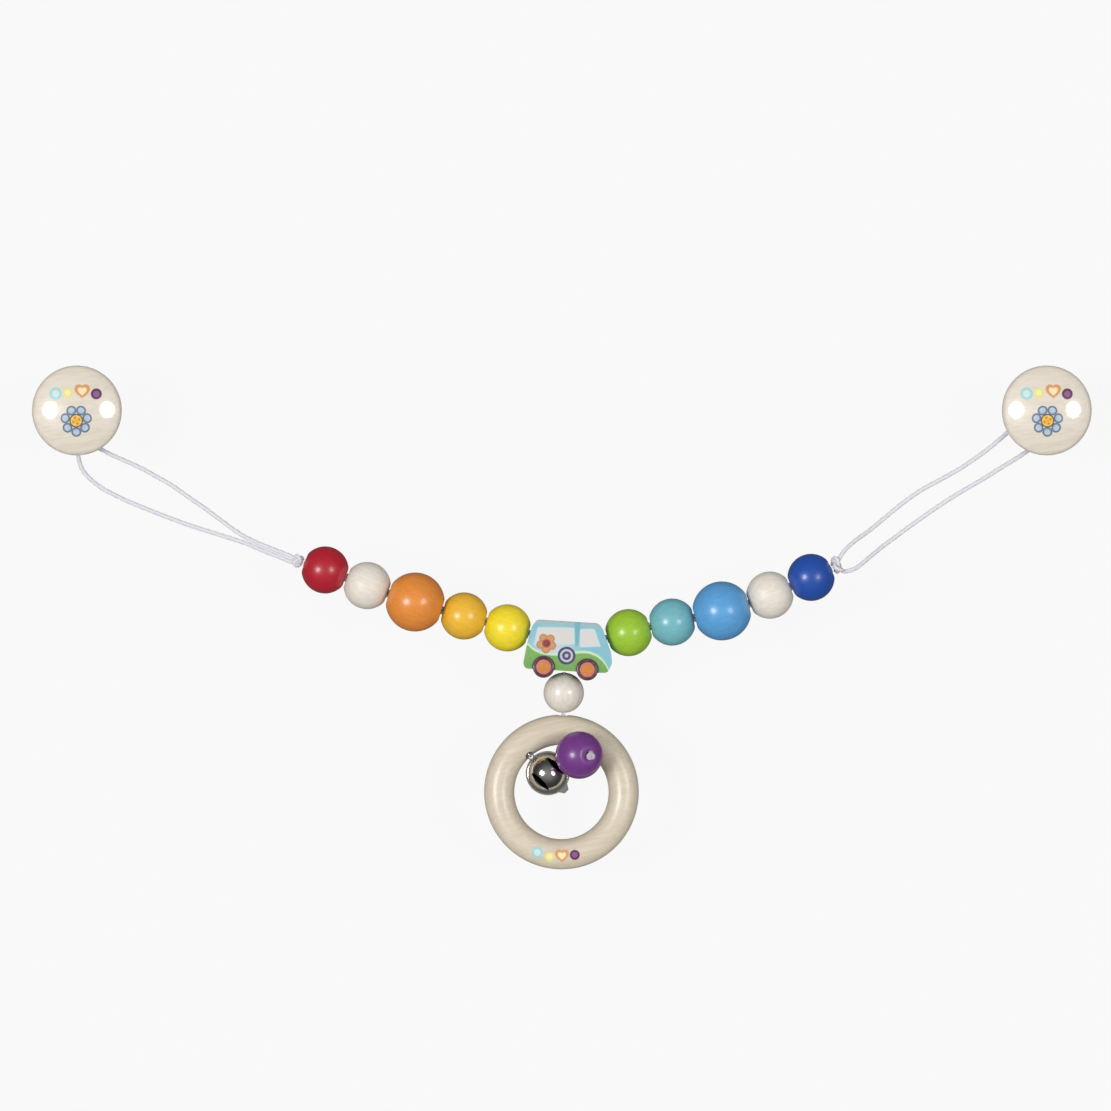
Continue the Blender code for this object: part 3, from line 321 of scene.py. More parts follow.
class FinishSheet:
    """The node tree of one material while it is put together."""

    def __init__(self, name: str) -> None:
        """Start a material.

        Args:
            name: Its name.
        """
        self.material = bpy.data.materials.new(name)
        self.material.use_nodes = True
        self.tree = self.material.node_tree
        self.shader = self.tree.nodes["Principled BSDF"]

    def number(self, name: str, value: float) -> None:
        """Set a socket of the shader to one value all over."""
        self.shader.inputs[name].default_value = value

    def place(self, centre: Vector = Vector((0.0, 0.0, 0.0)), turn: Matrix | None = None) -> Place:
        """Read the piece's own coordinates in millimetres.

        Args:
            centre: Where the local origin is.
            turn: How the local frame is turned.

        Returns:
            The place.
        """
        coordinates = self.tree.nodes.new("ShaderNodeTexCoord")
        mapping = self.tree.nodes.new("ShaderNodeMapping")
        mapping.vector_type = "TEXTURE"
        mapping.inputs["Location"].default_value = centre
        mapping.inputs["Scale"].default_value = (MM, MM, MM)
        if turn is not None:
            mapping.inputs["Rotation"].default_value = turn.to_euler()
        self.tree.links.new(coordinates.outputs["Object"], mapping.inputs["Vector"])
        return Place(self.tree, mapping.outputs[0])

    def unwrapped(self) -> Place:
        """Read the piece's own UV map."""
        return Place(self.tree, self.tree.nodes.new("ShaderNodeUVMap").outputs[0])

    def effect(self, effect: SharedEffect, place: Place) -> dict[str, Field]:
        """Place a shared effect.

        Args:
            effect: The effect.
            place: Where its pattern is read.

        Returns:
            Its outputs by name.
        """
        node = self.tree.nodes.new("ShaderNodeGroup")
        node.node_tree = effect.group()
        self.tree.links.new(place.vector, node.inputs["Vector"])
        return {name: Field(self.tree, node.outputs[name]) for name in effect.outputs}

    def layer(self, base: Colour | Socket, colour: Colour | Socket, mask: Field) -> Socket:
        """Lay one colour over another.

        Args:
            base: The colour below.
            colour: The colour on top.
            mask: Where the top one shows.

        Returns:
            The layered colour.
        """
        node = self.tree.nodes.new("ShaderNodeMix")
        node.data_type = "RGBA"
        node.clamp_factor = True
        self.tree.links.new(mask.socket, node.inputs["Factor"])
        for socket, value in ((node.inputs[6], base), (node.inputs[7], colour)):
            if isinstance(value, tuple):
                socket.default_value = (*value, 1.0)
            else:
                self.tree.links.new(value, socket)
        return node.outputs[2]

    def patches(self, colour: Socket, *patches: tuple[Colour | Socket, Field, float, float]) -> Socket:
        """Lay patches over a colour, each one where a measure is below a limit.

        Args:
            colour: The colour below.
            *patches: Colour, measure, limit and softness of the edge, the lowest patch first.

        Returns:
            The layered colour.
        """
        for ink, measure, limit, soft in patches:
            colour = self.layer(colour, ink, (measure - limit).inside(soft))
        return colour

    def finish(self, colour: Socket, rough: Field, height: Field, depth: float,
               coat: float = 0.0, coat_rough: float = 0.03) -> None:
        """Connect the colour, the roughness and the relief, and set the clear coat.

        Args:
            colour: The colour.
            rough: The roughness.
            height: The relief's height, about 0 to 1.
            depth: How high 1 stands, in metres.
            coat: Weight of the clear coat.
            coat_rough: Roughness of the clear coat.
        """
        bump = self.tree.nodes.new("ShaderNodeBump")
        bump.inputs["Distance"].default_value = depth
        bump.inputs["Strength"].default_value = 1.0
        self.tree.links.new(height.socket, bump.inputs["Height"])
        for name, socket in (("Base Color", colour), ("Roughness", rough.socket),
                             ("Normal", bump.outputs["Normal"])):
            self.tree.links.new(socket, self.shader.inputs[name])
        self.number("Coat Weight", coat)
        self.number("Coat Roughness", coat_rough)


@dataclass(frozen=True)
class Finish:
    """A finish with a material of its own, made once; each kind fills it in its own way."""

    name: str

    def fill(self, sheet: FinishSheet) -> None:
        """Put the material's nodes together."""
        raise NotImplementedError

    def made(self) -> bpy.types.Material:
        """Make the material at its first use.

        Returns:
            The material.
        """
        if self.name not in bpy.data.materials:
            self.fill(FinishSheet(self.name))
        return bpy.data.materials[self.name]

    def dress(self, piece: Piece) -> None:
        """Give a piece this finish and no other."""
        piece.data.materials.clear()
        piece.data.materials.append(self.made())


@dataclass(frozen=True)
class NaturalWood(Finish):
    """Clear-lacquered pale beech, with its grain along the local Z."""

    centre: Vector
    turn: Matrix
    pale: Colour = paint(220, 212, 200)
    deep: Colour = paint(198, 186, 166)
    gloss: float = 0.34
    coat: float = 0.16
    coat_rough: float = 0.26
    depth: float = 0.02 * MM

    def printed(self, sheet: FinishSheet, colour: Socket) -> Socket:
        """Lay a print over the wood's colour; plain wood has none."""
        return colour

    def fill(self, sheet: FinishSheet) -> None:
        """Put the material's nodes together.

        Args:
            sheet: The material.
        """
        place = sheet.place(self.centre, self.turn)
        grain, film = sheet.effect(WOOD, place), sheet.effect(LACQUER, place)
        colour = sheet.layer(self.pale, self.deep, grain["Shade"] * 0.75)
        colour = sheet.layer(colour, self.deep, (film["Tone"] * 0.35).most(0.0))
        sheet.finish(self.printed(sheet, colour), film["Gloss"].scaled(0.25, self.gloss),
                     grain["Height"] * 0.6 + film["Height"] * 0.25, self.depth, self.coat, self.coat_rough)


@dataclass(frozen=True)
class PaintedBead(Finish):
    """Stained and lacquered turned bead: bare wood in the bore and worn paint at its mouths."""

    colour: Colour
    centre: Vector
    turn: Matrix
    bore: float

    def fill(self, sheet: FinishSheet) -> None:
        """Put the material's nodes together.

        Args:
            sheet: The material.
        """
        place = sheet.place(self.centre, self.turn)
        grain, film = sheet.effect(WOOD, place), sheet.effect(LACQUER, place)
        deep = tuple(channel * 0.74 for channel in self.colour)
        colour = sheet.layer(self.colour, deep, grain["Shade"].scaled(0.75, -0.12))
        colour = sheet.layer(colour, deep, (film["Tone"] * 0.6).most(0.0))
        rim = place.distance(0.0, 0.0) - (self.bore / MM + 0.22) - film["Tone"] * 0.5
        bare = sheet.layer(Ink.BARE_WOOD, Ink.BARE_GRAIN, grain["Shade"])
        colour = sheet.layer(colour, bare, rim.inside(0.3))
        sheet.finish(colour, film["Gloss"].scaled(0.35, 0.38), grain["Height"] * 0.5 + film["Height"] * 0.4,
                     0.02 * MM, 0.45, 0.2)


class Ink:
    """Screen colours of the prints, of the van's paint and of the painted shade along the van's roof bevel.
    """

    BARE_WOOD, BARE_GRAIN = paint(214, 196, 166), paint(176, 152, 116)
    PETAL_LINE, PETAL_DEEP, PETAL = paint(90, 106, 132), paint(150, 172, 190), paint(190, 202, 214)
    CORE_LINE, SEED = paint(88, 84, 80), paint(164, 104, 40)
    CORE_DEEP, CORE = paint(222, 156, 48), paint(242, 200, 92)
    SKY, SKY_PALE = paint(120, 176, 188), paint(184, 194, 206)
    ROOF, POST = paint(146, 172, 174), paint(100, 162, 174)
    WINDOW_LINE, GLASS_COOL, GLASS_WARM = paint(184, 204, 210), paint(196, 200, 196), paint(204, 196, 192)
    GREEN, GREEN_DEEP = paint(112, 162, 78), paint(98, 148, 70)
    SWEEP, GRAIN = paint(186, 214, 182), paint(196, 204, 190)
    FLOWER_LINE, FLOWER, HEART_LINE, HEART = (
        paint(170, 108, 62), paint(196, 136, 88), paint(158, 74, 60), paint(122, 32, 46))
    ROUNDEL, ROUNDEL_PALE, ROUNDEL_RING, ROUNDEL_EYE = (
        paint(50, 50, 88), paint(182, 178, 198), paint(56, 54, 92), paint(176, 172, 196))
    TYRE, RIM, HUB = paint(78, 34, 54), paint(190, 110, 88), paint(196, 118, 28)
    ROW = (
        (0.78, paint(150, 200, 204), paint(196, 214, 210)),
        (0.64, paint(222, 212, 124), paint(230, 222, 160)),
        (0.95, paint(206, 148, 92), paint(240, 214, 172)),
        (0.68, paint(92, 40, 88), paint(134, 84, 128)),
    )


def heart(place: Place, x: float, y: float, size: float) -> Field:
    """Measure from a heart's middle so that its outline lies at a given size.

    Args:
        place: The coordinates.
        x: The heart's middle in X.
        y: The heart's middle in Y.
        size: Half its width.

    Returns:
        The measure, which is the size on the outline.
    """
    across = (place.x - x).size() * (1.0 / size)
    up = (place.y - y).scaled(1.22 / size, 0.1)
    return across.hypot(up - across.work("SQRT") * 0.62) * size


def print_row(sheet: FinishSheet, place: Place, colour: Socket, spots: Sequence[Pair], size: float) -> Socket:
    """Print two pale rings, a heart and a dark ring.

    Args:
        sheet: The material.
        place: The coordinates that the print lies in.
        colour: The colour below.
        spots: The four middles.
        size: Half the heart's width.

    Returns:
        The printed colour.
    """
    for index, ((x, y), (share, outline, middle)) in enumerate(zip(spots, Ink.ROW)):
        radius = size * share
        reach = heart(place, x, y, radius) if index == 2 else place.distance(x, y)
        colour = sheet.patches(colour, (outline, reach, radius, 0.3), (middle, reach, radius * 0.58, 0.3))
    return colour


def folded(reach: Field, angle: Field, count: int) -> tuple[Field, Field]:
    """Fold the petals of a flower onto one.

    Args:
        reach: Distance from the flower's middle.
        angle: Angle about its middle.
        count: How many petals it has.

    Returns:
        The places along and across the petal.
    """
    half = math.pi / count
    turned = angle.work("WRAP", half, -half)
    return reach * turned.work("COSINE"), reach * turned.work("SINE")


@dataclass(frozen=True)
class PrintedRing(NaturalWood):
    """The natural wood of the ring with a small printed row on its lower side."""

    spots: tuple[Pair, ...] = ((-10.2, -25.3), (-5.0, -27.2), (0.2, -27.0), (5.6, -26.3))
    size: float = 3.1

    def printed(self, sheet: FinishSheet, colour: Socket) -> Socket:
        """Print the row on the face that is up.

        Args:
            sheet: The material.
            colour: The wood's colour.

        Returns:
            The printed colour.
        """
        flat = sheet.place(self.centre)
        row = print_row(sheet, flat, colour, self.spots, self.size)
        return sheet.layer(colour, row, flat.z.work("GREATER_THAN", 0.0))


@dataclass(frozen=True)
class PrintedDisc(NaturalWood):
    """The natural wood of a clip's disc with a printed daisy and a row of plain marks."""

    coat: float = 0.8
    coat_rough: float = 0.03
    depth: float = 0.008 * MM
    spots: tuple[Pair, ...] = ((-8.7, 7.0), (-3.7, 7.4), (2.5, 7.7), (8.4, 6.9))
    size: float = 3.4
    petals: int = 7
    petal_reach: float = 4.7
    petal_size: float = 1.75
    core: float = 2.55
    flower: Pair = (0.0, -4.4)

    def printed(self, sheet: FinishSheet, colour: Socket) -> Socket:
        """Print the row and, below it, the daisy.

        Args:
            sheet: The material.
            colour: The wood's colour.

        Returns:
            The printed colour.
        """
        flat = sheet.place(self.centre)
        colour = print_row(sheet, flat, colour, self.spots, self.size)
        reach, angle = flat.distance(*self.flower), flat.angle(*self.flower)
        along, across = folded(reach, angle + math.pi / 2, self.petals)
        along = along - self.petal_reach
        petal = along.hypot(across * 0.94)
        fill = sheet.layer(Ink.PETAL_DEEP, Ink.PETAL, (along * 0.25 + 0.45).limited(1.0))
        glow = (reach * (1.0 / self.core)).limited(1.0)
        seeds = (angle * 4.0).work("SINE").scaled(0.5, 0.5) * (reach - 1.4).size().scaled(-1.4, 1.0).most(0.0)
        core = sheet.layer(sheet.layer(Ink.CORE_DEEP, Ink.CORE, glow), Ink.SEED, seeds)
        return sheet.patches(
            colour, (Ink.PETAL_LINE, petal, self.petal_size + 0.25, 0.3),
            (fill, petal, self.petal_size - 0.45, 0.4),
            (Ink.CORE_LINE, reach, self.core + 0.35, 0.3), (core, reach, self.core - 0.25, 0.3))


@dataclass(frozen=True)
class VanPaint(Finish):
    """Two-tone paint of the van: windows, a sweeping pale line, wheels, a plain roundel and a flower."""

    centre: Vector
    turn: Matrix
    wheels: tuple[Pair, ...]
    wheel_size: float
    flower: Pair = (-8.3, -5.5)
    roundel: Pair = (0.43, -10.15)
    windows: tuple[tuple[Pair, ...], ...] = (
        ((-13.2, -6.2), (3.3, -4.9), (2.75, 1.45), (-12.2, 0.75)),
        ((6.05, -6.0), (14.1, -5.2), (11.2, 1.55), (5.75, 1.1)),
    )
    sweep: tuple[Pair, ...] = (
        (-18.0, -5.4), (-16.3, -6.2), (-13.4, -8.3), (-9.4, -9.75), (-3.6, -9.9), (0.6, -9.4),
        (4.7, -8.5), (8.5, -8.15), (11.8, -8.8), (14.6, -10.3), (17.1, -12.9), (19.0, -16.5),
    )
    sweep_low: Pair = (-18.0, -17.5)
    sweep_high: Pair = (20.0, -5.0)

    def fill(self, sheet: FinishSheet) -> None:
        """Put the material's nodes together.

        Args:
            sheet: The material.
        """
        place = sheet.place(self.centre, self.turn)
        grain, film = sheet.effect(WOOD, place), sheet.effect(LACQUER, place)
        colour = self.lower(sheet, place, self.upper(sheet, place))
        colour = self.signs(sheet, place, colour)
        colour = sheet.layer(colour, Ink.GRAIN, (grain["Shade"] - 0.5).most(0.0) * 0.30)
        sheet.finish(colour, film["Gloss"].scaled(0.3, 0.42), grain["Height"] * 0.7 + film["Height"] * 0.4,
                     0.025 * MM, 0.4, 0.25)

    def polygon(self, place: Place, corners: Sequence[Pair], soft: float) -> Field:
        """Measure how far a place is outside a convex outline.

        Args:
            place: The coordinates.
            corners: The outline's corners, anticlockwise.
            soft: Rounding of its corners.

        Returns:
            The distance, below 0 inside.
        """
        distance: Field | None = None
        for (x0, y0), (x1, y1) in zip(corners, [*corners[1:], corners[0]]):
            length = math.hypot(x1 - x0, y1 - y0)
            nx, ny = (y1 - y0) / length, (x0 - x1) / length
            edge = place.x * nx + place.y.scaled(ny, -(x0 * nx + y0 * ny))
            distance = edge if distance is None else distance.work("SMOOTH_MAX", edge, soft)
        return distance

    def upper(self, sheet: FinishSheet, place: Place) -> Socket:
        """Paint the upper body, a painted shade along its roof bevel, its post and its windows.

        Args:
            sheet: The material.
            place: The van's own coordinates.

        Returns:
            The colour.
        """
        pale = place.distance(-5.0, -8.5).scaled(-1.0 / 11.0, 1.15).limited(1.0)
        colour = sheet.layer(Ink.SKY, Ink.SKY_PALE, pale)
        # Painted shade: a blue-grey band along the top, where the roof's bevel turns away from the light.
        colour = sheet.layer(colour, Ink.ROOF, (place.y * -1.0 + 2.5).inside(1.4))
        post = (place.x - 4.3).size() - 1.0 - place.y * 0.06
        colour = sheet.layer(colour, Ink.POST, post.inside(0.6) * (place.y + 7.0).limited(0.5))
        for corners in self.windows:
            edge = self.polygon(place, corners, 1.2)
            glass = sheet.layer(Ink.GLASS_COOL, Ink.GLASS_WARM, noise(sheet.tree, place.vector, 0.35, 2.0))
            colour = sheet.patches(colour, (Ink.WINDOW_LINE, edge, 0.35, 0.5), (glass, edge, -0.3, 0.5))
        return colour

    def lower(self, sheet: FinishSheet, place: Place, colour: Socket) -> Socket:
        """Paint the lower body and the pale line that sweeps over it.

        Args:
            sheet: The material.
            place: The van's own coordinates.
            colour: The colour below.

        Returns:
            The colour.
        """
        (low_x, low_y), (high_x, high_y) = self.sweep_low, self.sweep_high
        curve = sheet.tree.nodes.new("ShaderNodeFloatCurve")
        points = curve.mapping.curves[0].points
        while len(points) < len(self.sweep):
            points.new(0.5, 0.5)
        for point, (x, y) in zip(points, self.sweep):
            point.location = ((x - low_x) / (high_x - low_x), (y - low_y) / (high_y - low_y))
        curve.mapping.update()
        across = place.x.scaled(1.0 / (high_x - low_x), -low_x / (high_x - low_x))
        sheet.tree.links.new(across.socket, curve.inputs["Value"])
        above = place.y - Field(sheet.tree, curve.outputs[0]).scaled(high_y - low_y, low_y)
        below = above.inside(0.2)
        colour = sheet.layer(colour, Ink.GREEN, below)
        colour = sheet.layer(colour, Ink.GREEN_DEEP, (place.y + 12.0).inside(6.0) * below * 0.6)
        return sheet.layer(colour, Ink.SWEEP, (above.size() - 0.5).inside(0.4))

    def signs(self, sheet: FinishSheet, place: Place, colour: Socket) -> Socket:
        """Paint the flower over the rear window, the plain roundel and the wheels.

        Args:
            sheet: The material.
            place: The van's own coordinates.
            colour: The colour below.

        Returns:
            The colour.
        """
        reach = place.distance(*self.flower) * 0.95
        along, across = folded(reach, place.angle(*self.flower) + 0.35, 5)
        petal = (along - 2.35).hypot(across).work("MINIMUM", reach)
        colour = sheet.patches(colour, (Ink.FLOWER_LINE, petal, 1.72, 0.35), (Ink.FLOWER, petal, 1.3, 0.6),
                               (Ink.HEART_LINE, reach, 1.75, 0.4), (Ink.HEART, reach, 1.25, 0.5))
        reach = place.distance(*self.roundel)
        colour = sheet.patches(colour, (Ink.ROUNDEL, reach, 3.75, 0.25), (Ink.ROUNDEL_PALE, reach, 2.75, 0.3),
                               (Ink.ROUNDEL_RING, reach, 1.85, 0.35), (Ink.ROUNDEL_EYE, reach, 0.8, 0.3))
        for wheel in self.wheels:
            reach = place.distance(*wheel)
            colour = sheet.patches(colour, (Ink.TYRE, reach, self.wheel_size + 0.2, 0.15),
                                   (Ink.RIM, reach, 3.15, 0.3), (Ink.HUB, reach, 2.1, 0.6))
        return colour


@dataclass(frozen=True)
class Metal(Finish):
    """Plated metal with fine lines, scratches and duller patches."""

    colour: Colour
    rough: float
    spread: float

    def fill(self, sheet: FinishSheet) -> None:
        """Put the material's nodes together.

        Args:
            sheet: The material.
        """
        place = sheet.place()
        marks, film = sheet.effect(SCUFFS, place), sheet.effect(LACQUER, place)
        worn = tuple(channel * 0.80 for channel in self.colour)
        tone = sheet.layer(self.colour, worn, marks["Lines"] * 0.5 + film["Tone"].most(0.0))
        sheet.finish(tone, marks["Lines"].scaled(self.spread, self.rough) + marks["Scratches"] * 0.12,
                     marks["Lines"] * 0.3 - marks["Scratches"] * 0.5, 0.006 * MM)
        sheet.number("Metallic", 1.0)


class MetalKind(Enum):
    """Metals of the toy, each with its colour, roughness and brushing, and the painted shade inside the bell.
    """

    BELL = Metal("bell_nickel", (0.80, 0.78, 0.75), 0.09, 0.06)
    CLIP = Metal("clip_nickel", (0.66, 0.66, 0.66), 0.26, 0.18)
    BRASS = Metal("rivet_brass", (0.78, 0.62, 0.36), 0.24, 0.12)
    # Near-black painted shade for the inside of the bell, which is dark only from shade.
    INSIDE = Metal("bell_inside_painted_shade", (0.03, 0.028, 0.025), 0.55, 0.2)


@dataclass(frozen=True)
class Moulded(Finish):
    """Milky moulded plastic of the jaw inserts."""

    def fill(self, sheet: FinishSheet) -> None:
        """Put the material's nodes together.

        Args:
            sheet: The material.
        """
        film = sheet.effect(LACQUER, sheet.place())
        colour = sheet.layer(paint(232, 232, 228), paint(214, 214, 206), film["Tone"] + 0.4)
        sheet.finish(colour, film["Gloss"].scaled(0.3, 0.45), film["Height"], 0.01 * MM)
        sheet.number("Subsurface Weight", 0.15)
        sheet.number("Subsurface Scale", 0.001)


@dataclass(frozen=True)
class BraidedCord(Finish):
    """Soft braided cord, patterned along its UV map, with painted shade between its yarns."""

    deep: Colour
    pale: Colour

    def fill(self, sheet: FinishSheet) -> None:
        """Put the material's nodes together.

        Args:
            sheet: The material.
        """
        braid = sheet.effect(BRAID, sheet.unwrapped())
        # Painted shade and light: darker in the troughs between the yarns and paler on their crowns, plus a
        # random fuzz tone.
        colour = sheet.layer(self.deep, self.pale, braid["Shade"].scaled(1.2, -0.05))
        sheet.finish(colour, braid["Shade"].scaled(0.15, 0.75), braid["Height"], 0.10 * MM)
        sheet.number("Sheen Weight", 0.3)
        sheet.number("Sheen Roughness", 0.5)


LILAC_CORD = BraidedCord("braided_cord", paint(196, 192, 202), paint(214, 212, 218))
GREY_CORD = BraidedCord("grey_cord", paint(142, 128, 148), paint(188, 176, 190))


def upright(direction: Vector) -> Matrix:
    """Turn that takes local Z along a direction and keeps local X as near to up as it can.

    Args:
        direction: Where local Z goes.

    Returns:
        The turn.
    """
    along = direction.normalized()
    up = Vector((0.0, 0.0, 1.0)) if abs(along.z) < 0.98 else Vector((1.0, 0.0, 0.0))
    high = (up - along * up.dot(along)).normalized()
    return Matrix((high, along.cross(high), along)).transposed()


def arc(radius: float, first: float, last: float, steps: int) -> list[Pair]:
    """Read places along an arc about the origin, from one angle to another in equal steps."""
    turns = [first + (last - first) * step / steps for step in range(steps + 1)]
    return [(radius * math.cos(turn), radius * math.sin(turn)) for turn in turns]


def metres(places: Sequence[Pair]) -> list[Pair]:
    """Turn places from millimetres into metres."""
    return [(x * MM, y * MM) for x, y in places]


def points_of(table: Sequence[Triple]) -> list[Vector]:
    """Turn places in millimetres into points in metres."""
    return [Vector(place) * MM for place in table]


class Bench:
    """Starts, shapes and finishes pieces with the usual modelling operators."""

    @staticmethod
    def take(piece: Piece) -> None:
        """Select and activate a piece and nothing else.

        Args:
            piece: The piece.
        """
        bpy.ops.object.select_all(action="DESELECT")
        piece.select_set(True)
        bpy.context.view_layer.objects.active = piece

    @staticmethod
    def started(name: str) -> Piece:
        """Name the piece that an operator has just made.

        Args:
            name: Its name.

        Returns:
            The piece.
        """
        piece = bpy.context.object
        piece.name = name
        piece.data.name = name
        return piece

    @staticmethod
    def placed(piece: Piece, centre: Vector = Vector((0.0, 0.0, 0.0)), turn: Matrix | None = None) -> Piece:
        """Move a piece to its place and put that into its mesh.

        Args:
            piece: The piece, modelled about the origin.
            centre: Its place.
            turn: Its turn.

        Returns:
            The piece.
        """
        piece.matrix_world = Matrix.Translation(centre) @ (turn or Matrix.Identity(3)).to_4x4()
        Bench.take(piece)
        bpy.ops.object.transform_apply(location=True, rotation=True, scale=True)
        return piece

    @staticmethod
    @contextmanager
    def editing(piece: Piece) -> Iterator[None]:
        """Keep a piece in edit mode while its mesh is worked on.

        Args:
            piece: The piece.

        Yields:
            Nothing.
        """
        Bench.take(piece)
        bpy.ops.object.mode_set(mode="EDIT")
        yield
        bpy.ops.object.mode_set(mode="OBJECT")

    @staticmethod
    def face_out() -> None:
        """Turn all faces of the piece in edit mode outwards."""
        bpy.ops.mesh.select_all(action="SELECT")
        bpy.ops.mesh.normals_make_consistent(inside=False)

    @staticmethod
    def pull(height: float, to_point: bool = False) -> None:
        """Extrude the selection of the piece in edit mode upwards.

        Args:
            height: How far.
            to_point: Whether it runs into one point.
        """
        bpy.ops.mesh.extrude_region_move(TRANSFORM_OT_translate={"value": (0.0, 0.0, height)})
        if to_point:
            bpy.ops.mesh.merge(type="CENTER")

    @staticmethod
    def turned(name: str, profile: Sequence[Pair], sides: int) -> Piece:
        """Turn a profile on the lathe about Z.

        Args:
            name: The piece's name.
            profile: Radius and height from the top down; a first and last radius
                of 0 close on poles, and any other profile closes round a bore.
            sides: Sides of the round.

        Returns:
            The piece.
        """
        solid = profile[0][0] == 0.0
        points = list(profile[1:-1]) if solid else list(profile)
        radius, height = points[0]
        bpy.ops.object.select_all(action="DESELECT")
        bpy.ops.mesh.primitive_circle_add(vertices=sides, radius=radius, location=(0.0, 0.0, height),
                                          fill_type="NOTHING", enter_editmode=True)
        bpy.ops.mesh.select_mode(type="VERT")
        if solid:
            bpy.ops.mesh.select_all(action="SELECT")
            Bench.pull(profile[0][1] - height, to_point=True)
            Bench.pick(lambda place: abs(place.z) < 1e-9)
        for after_radius, after_height in points[1:]:
            Bench.pull(after_height - height)
            share = after_radius / radius
            if abs(share - 1.0) > 1e-9:
                bpy.ops.transform.resize(value=(share, share, 1.0), center_override=(0.0, 0.0, after_height))
            radius, height = after_radius, after_height
        if solid:
            Bench.pull(profile[-1][1] - height, to_point=True)
        else:
            bpy.ops.mesh.select_non_manifold()
            bpy.ops.mesh.bridge_edge_loops()
        Bench.face_out()
        bpy.ops.object.mode_set(mode="OBJECT")
        piece = Bench.started(name)
        Bench.take(piece)
        bpy.ops.object.transform_apply(location=True, rotation=True, scale=True)
        return piece

    @staticmethod
    def pick(test: Callable[[Vector], bool]) -> None:
        """Select the points of the piece in edit mode whose place passes a test.

        Args:
            test: The test.
        """
        bpy.ops.object.mode_set(mode="OBJECT")
        for vertex in bpy.context.object.data.vertices:
            vertex.select = test(vertex.co)
        bpy.ops.object.mode_set(mode="EDIT")

    @staticmethod
    def slab(name: str, outline: Sequence[Pair], low: float, high: float) -> Piece:
        """Saw a convex slab out of a block, one straight cut for each side.

        Args:
            name: The piece's name.
            outline: Its corners in X and Y, anticlockwise.
            low: Its lowest height.
            high: Its highest height.

        Returns:
            The piece.
        """
        xs, ys = zip(*outline)
        centre = ((max(xs) + min(xs)) / 2, (max(ys) + min(ys)) / 2, (high + low) / 2)
        bpy.ops.object.select_all(action="DESELECT")
        bpy.ops.mesh.primitive_cube_add(size=1.0, location=centre)
        piece = Bench.started(name)
        piece.scale = (max(xs) - min(xs) + 2 * MM, max(ys) - min(ys) + 2 * MM, high - low)
        bpy.ops.object.transform_apply(location=True, rotation=True, scale=True)
        with Bench.editing(piece):
            for (x0, y0), (x1, y1) in zip(outline, [*outline[1:], outline[0]]):
                bpy.ops.mesh.select_all(action="SELECT")
                bpy.ops.mesh.bisect(plane_co=(x0, y0, 0.0), plane_no=(y1 - y0, x0 - x1, 0.0), use_fill=True,
                                    clear_outer=True, threshold=1e-7)
            Bench.face_out()
        return piece

    @staticmethod
    def bevelled(piece: Piece, test: Callable[[Vector, Vector], bool], width: float, steps: int) -> None:
        """Round off the edges whose two ends pass a test.

        Args:
            piece: The piece.
            test: The test.
            width: Width of the rounding.
            steps: Its faces across.
        """
        with Bench.editing(piece):
            bpy.ops.mesh.select_mode(type="EDGE")
            bpy.ops.mesh.select_all(action="DESELECT")
            bpy.ops.object.mode_set(mode="OBJECT")
            for edge in piece.data.edges:
                edge.select = test(*(piece.data.vertices[index].co for index in edge.vertices))
            bpy.ops.object.mode_set(mode="EDIT")
            bpy.ops.mesh.bevel(offset=width, segments=steps, profile=0.5, clamp_overlap=True)

    @staticmethod
    def joined(piece: Piece, other: Piece, operation: str = "DIFFERENCE") -> None:
        """Cut another piece out of a piece, or unite the two, and remove the other.

        Args:
            piece: The piece.
            other: The other piece.
            operation: The boolean operation.
        """
        change = piece.modifiers.new(other.name, "BOOLEAN")
        change.object = other
        change.operation = operation
        change.solver = "EXACT"
        Bench.take(piece)
        bpy.ops.object.modifier_apply(modifier=change.name)
        bpy.data.objects.remove(other, do_unlink=True)

    @staticmethod
    def bored(piece: Piece, radius: float, length: float, centre: Vector, along: Vector,
              sides: int = 48) -> None:
        """Drill a round hole.

        Args:
            piece: The piece.
            radius: The hole's radius.
            length: Its length.
            centre: Its middle.
            along: Its direction.
            sides: Sides of its round.
        """
        bpy.ops.object.select_all(action="DESELECT")
        bpy.ops.mesh.primitive_cylinder_add(vertices=sides, radius=radius, depth=length)
        Bench.joined(piece, Bench.placed(Bench.started("rod"), centre, upright(along)))

    @staticmethod
    def copied(piece: Piece, name: str) -> Piece:
        """Copy a piece with a mesh of its own.

        Args:
            piece: The piece.
            name: The copy's name.

        Returns:
            The copy.
        """
        Bench.take(piece)
        bpy.ops.object.duplicate(linked=False)
        return Bench.started(name)

    @staticmethod
    def smoothed(piece: Piece, angle: float = 35.0) -> Piece:
        """Shade a piece smooth.

        Args:
            piece: The piece.
            angle: Edges sharper than these degrees stay sharp.

        Returns:
            The piece.
        """
        Bench.take(piece)
        bpy.ops.object.shade_smooth_by_angle(angle=angle * DEG)
        return piece

    @staticmethod
    def fine_route(points: Route, step: float) -> list[Vector]:
        """Read points at about an even step from a smooth curve through some places.

        Args:
            points: The places.
            step: The step.

        Returns:
            The points.
        """
        ends = [points[0] * 2 - points[1], *points, points[-1] * 2 - points[-2]]
        fine: list[Vector] = []
        for index in range(1, len(ends) - 2):
            p0, p1, p2, p3 = ends[index - 1:index + 3]
            count = max(1, round((p2 - p1).length / step))
            for sub in range(count):
                t = sub / count
                bend = (p0 * 2 - p1 * 5 + p2 * 4 - p3) * (t * t)
                twist = (p1 * 3 - p0 - p2 * 3 + p3) * (t * t * t)
                fine.append((p1 * 2 + (p2 - p0) * t + bend + twist) / 2)
        return [*fine, points[-1].copy()]

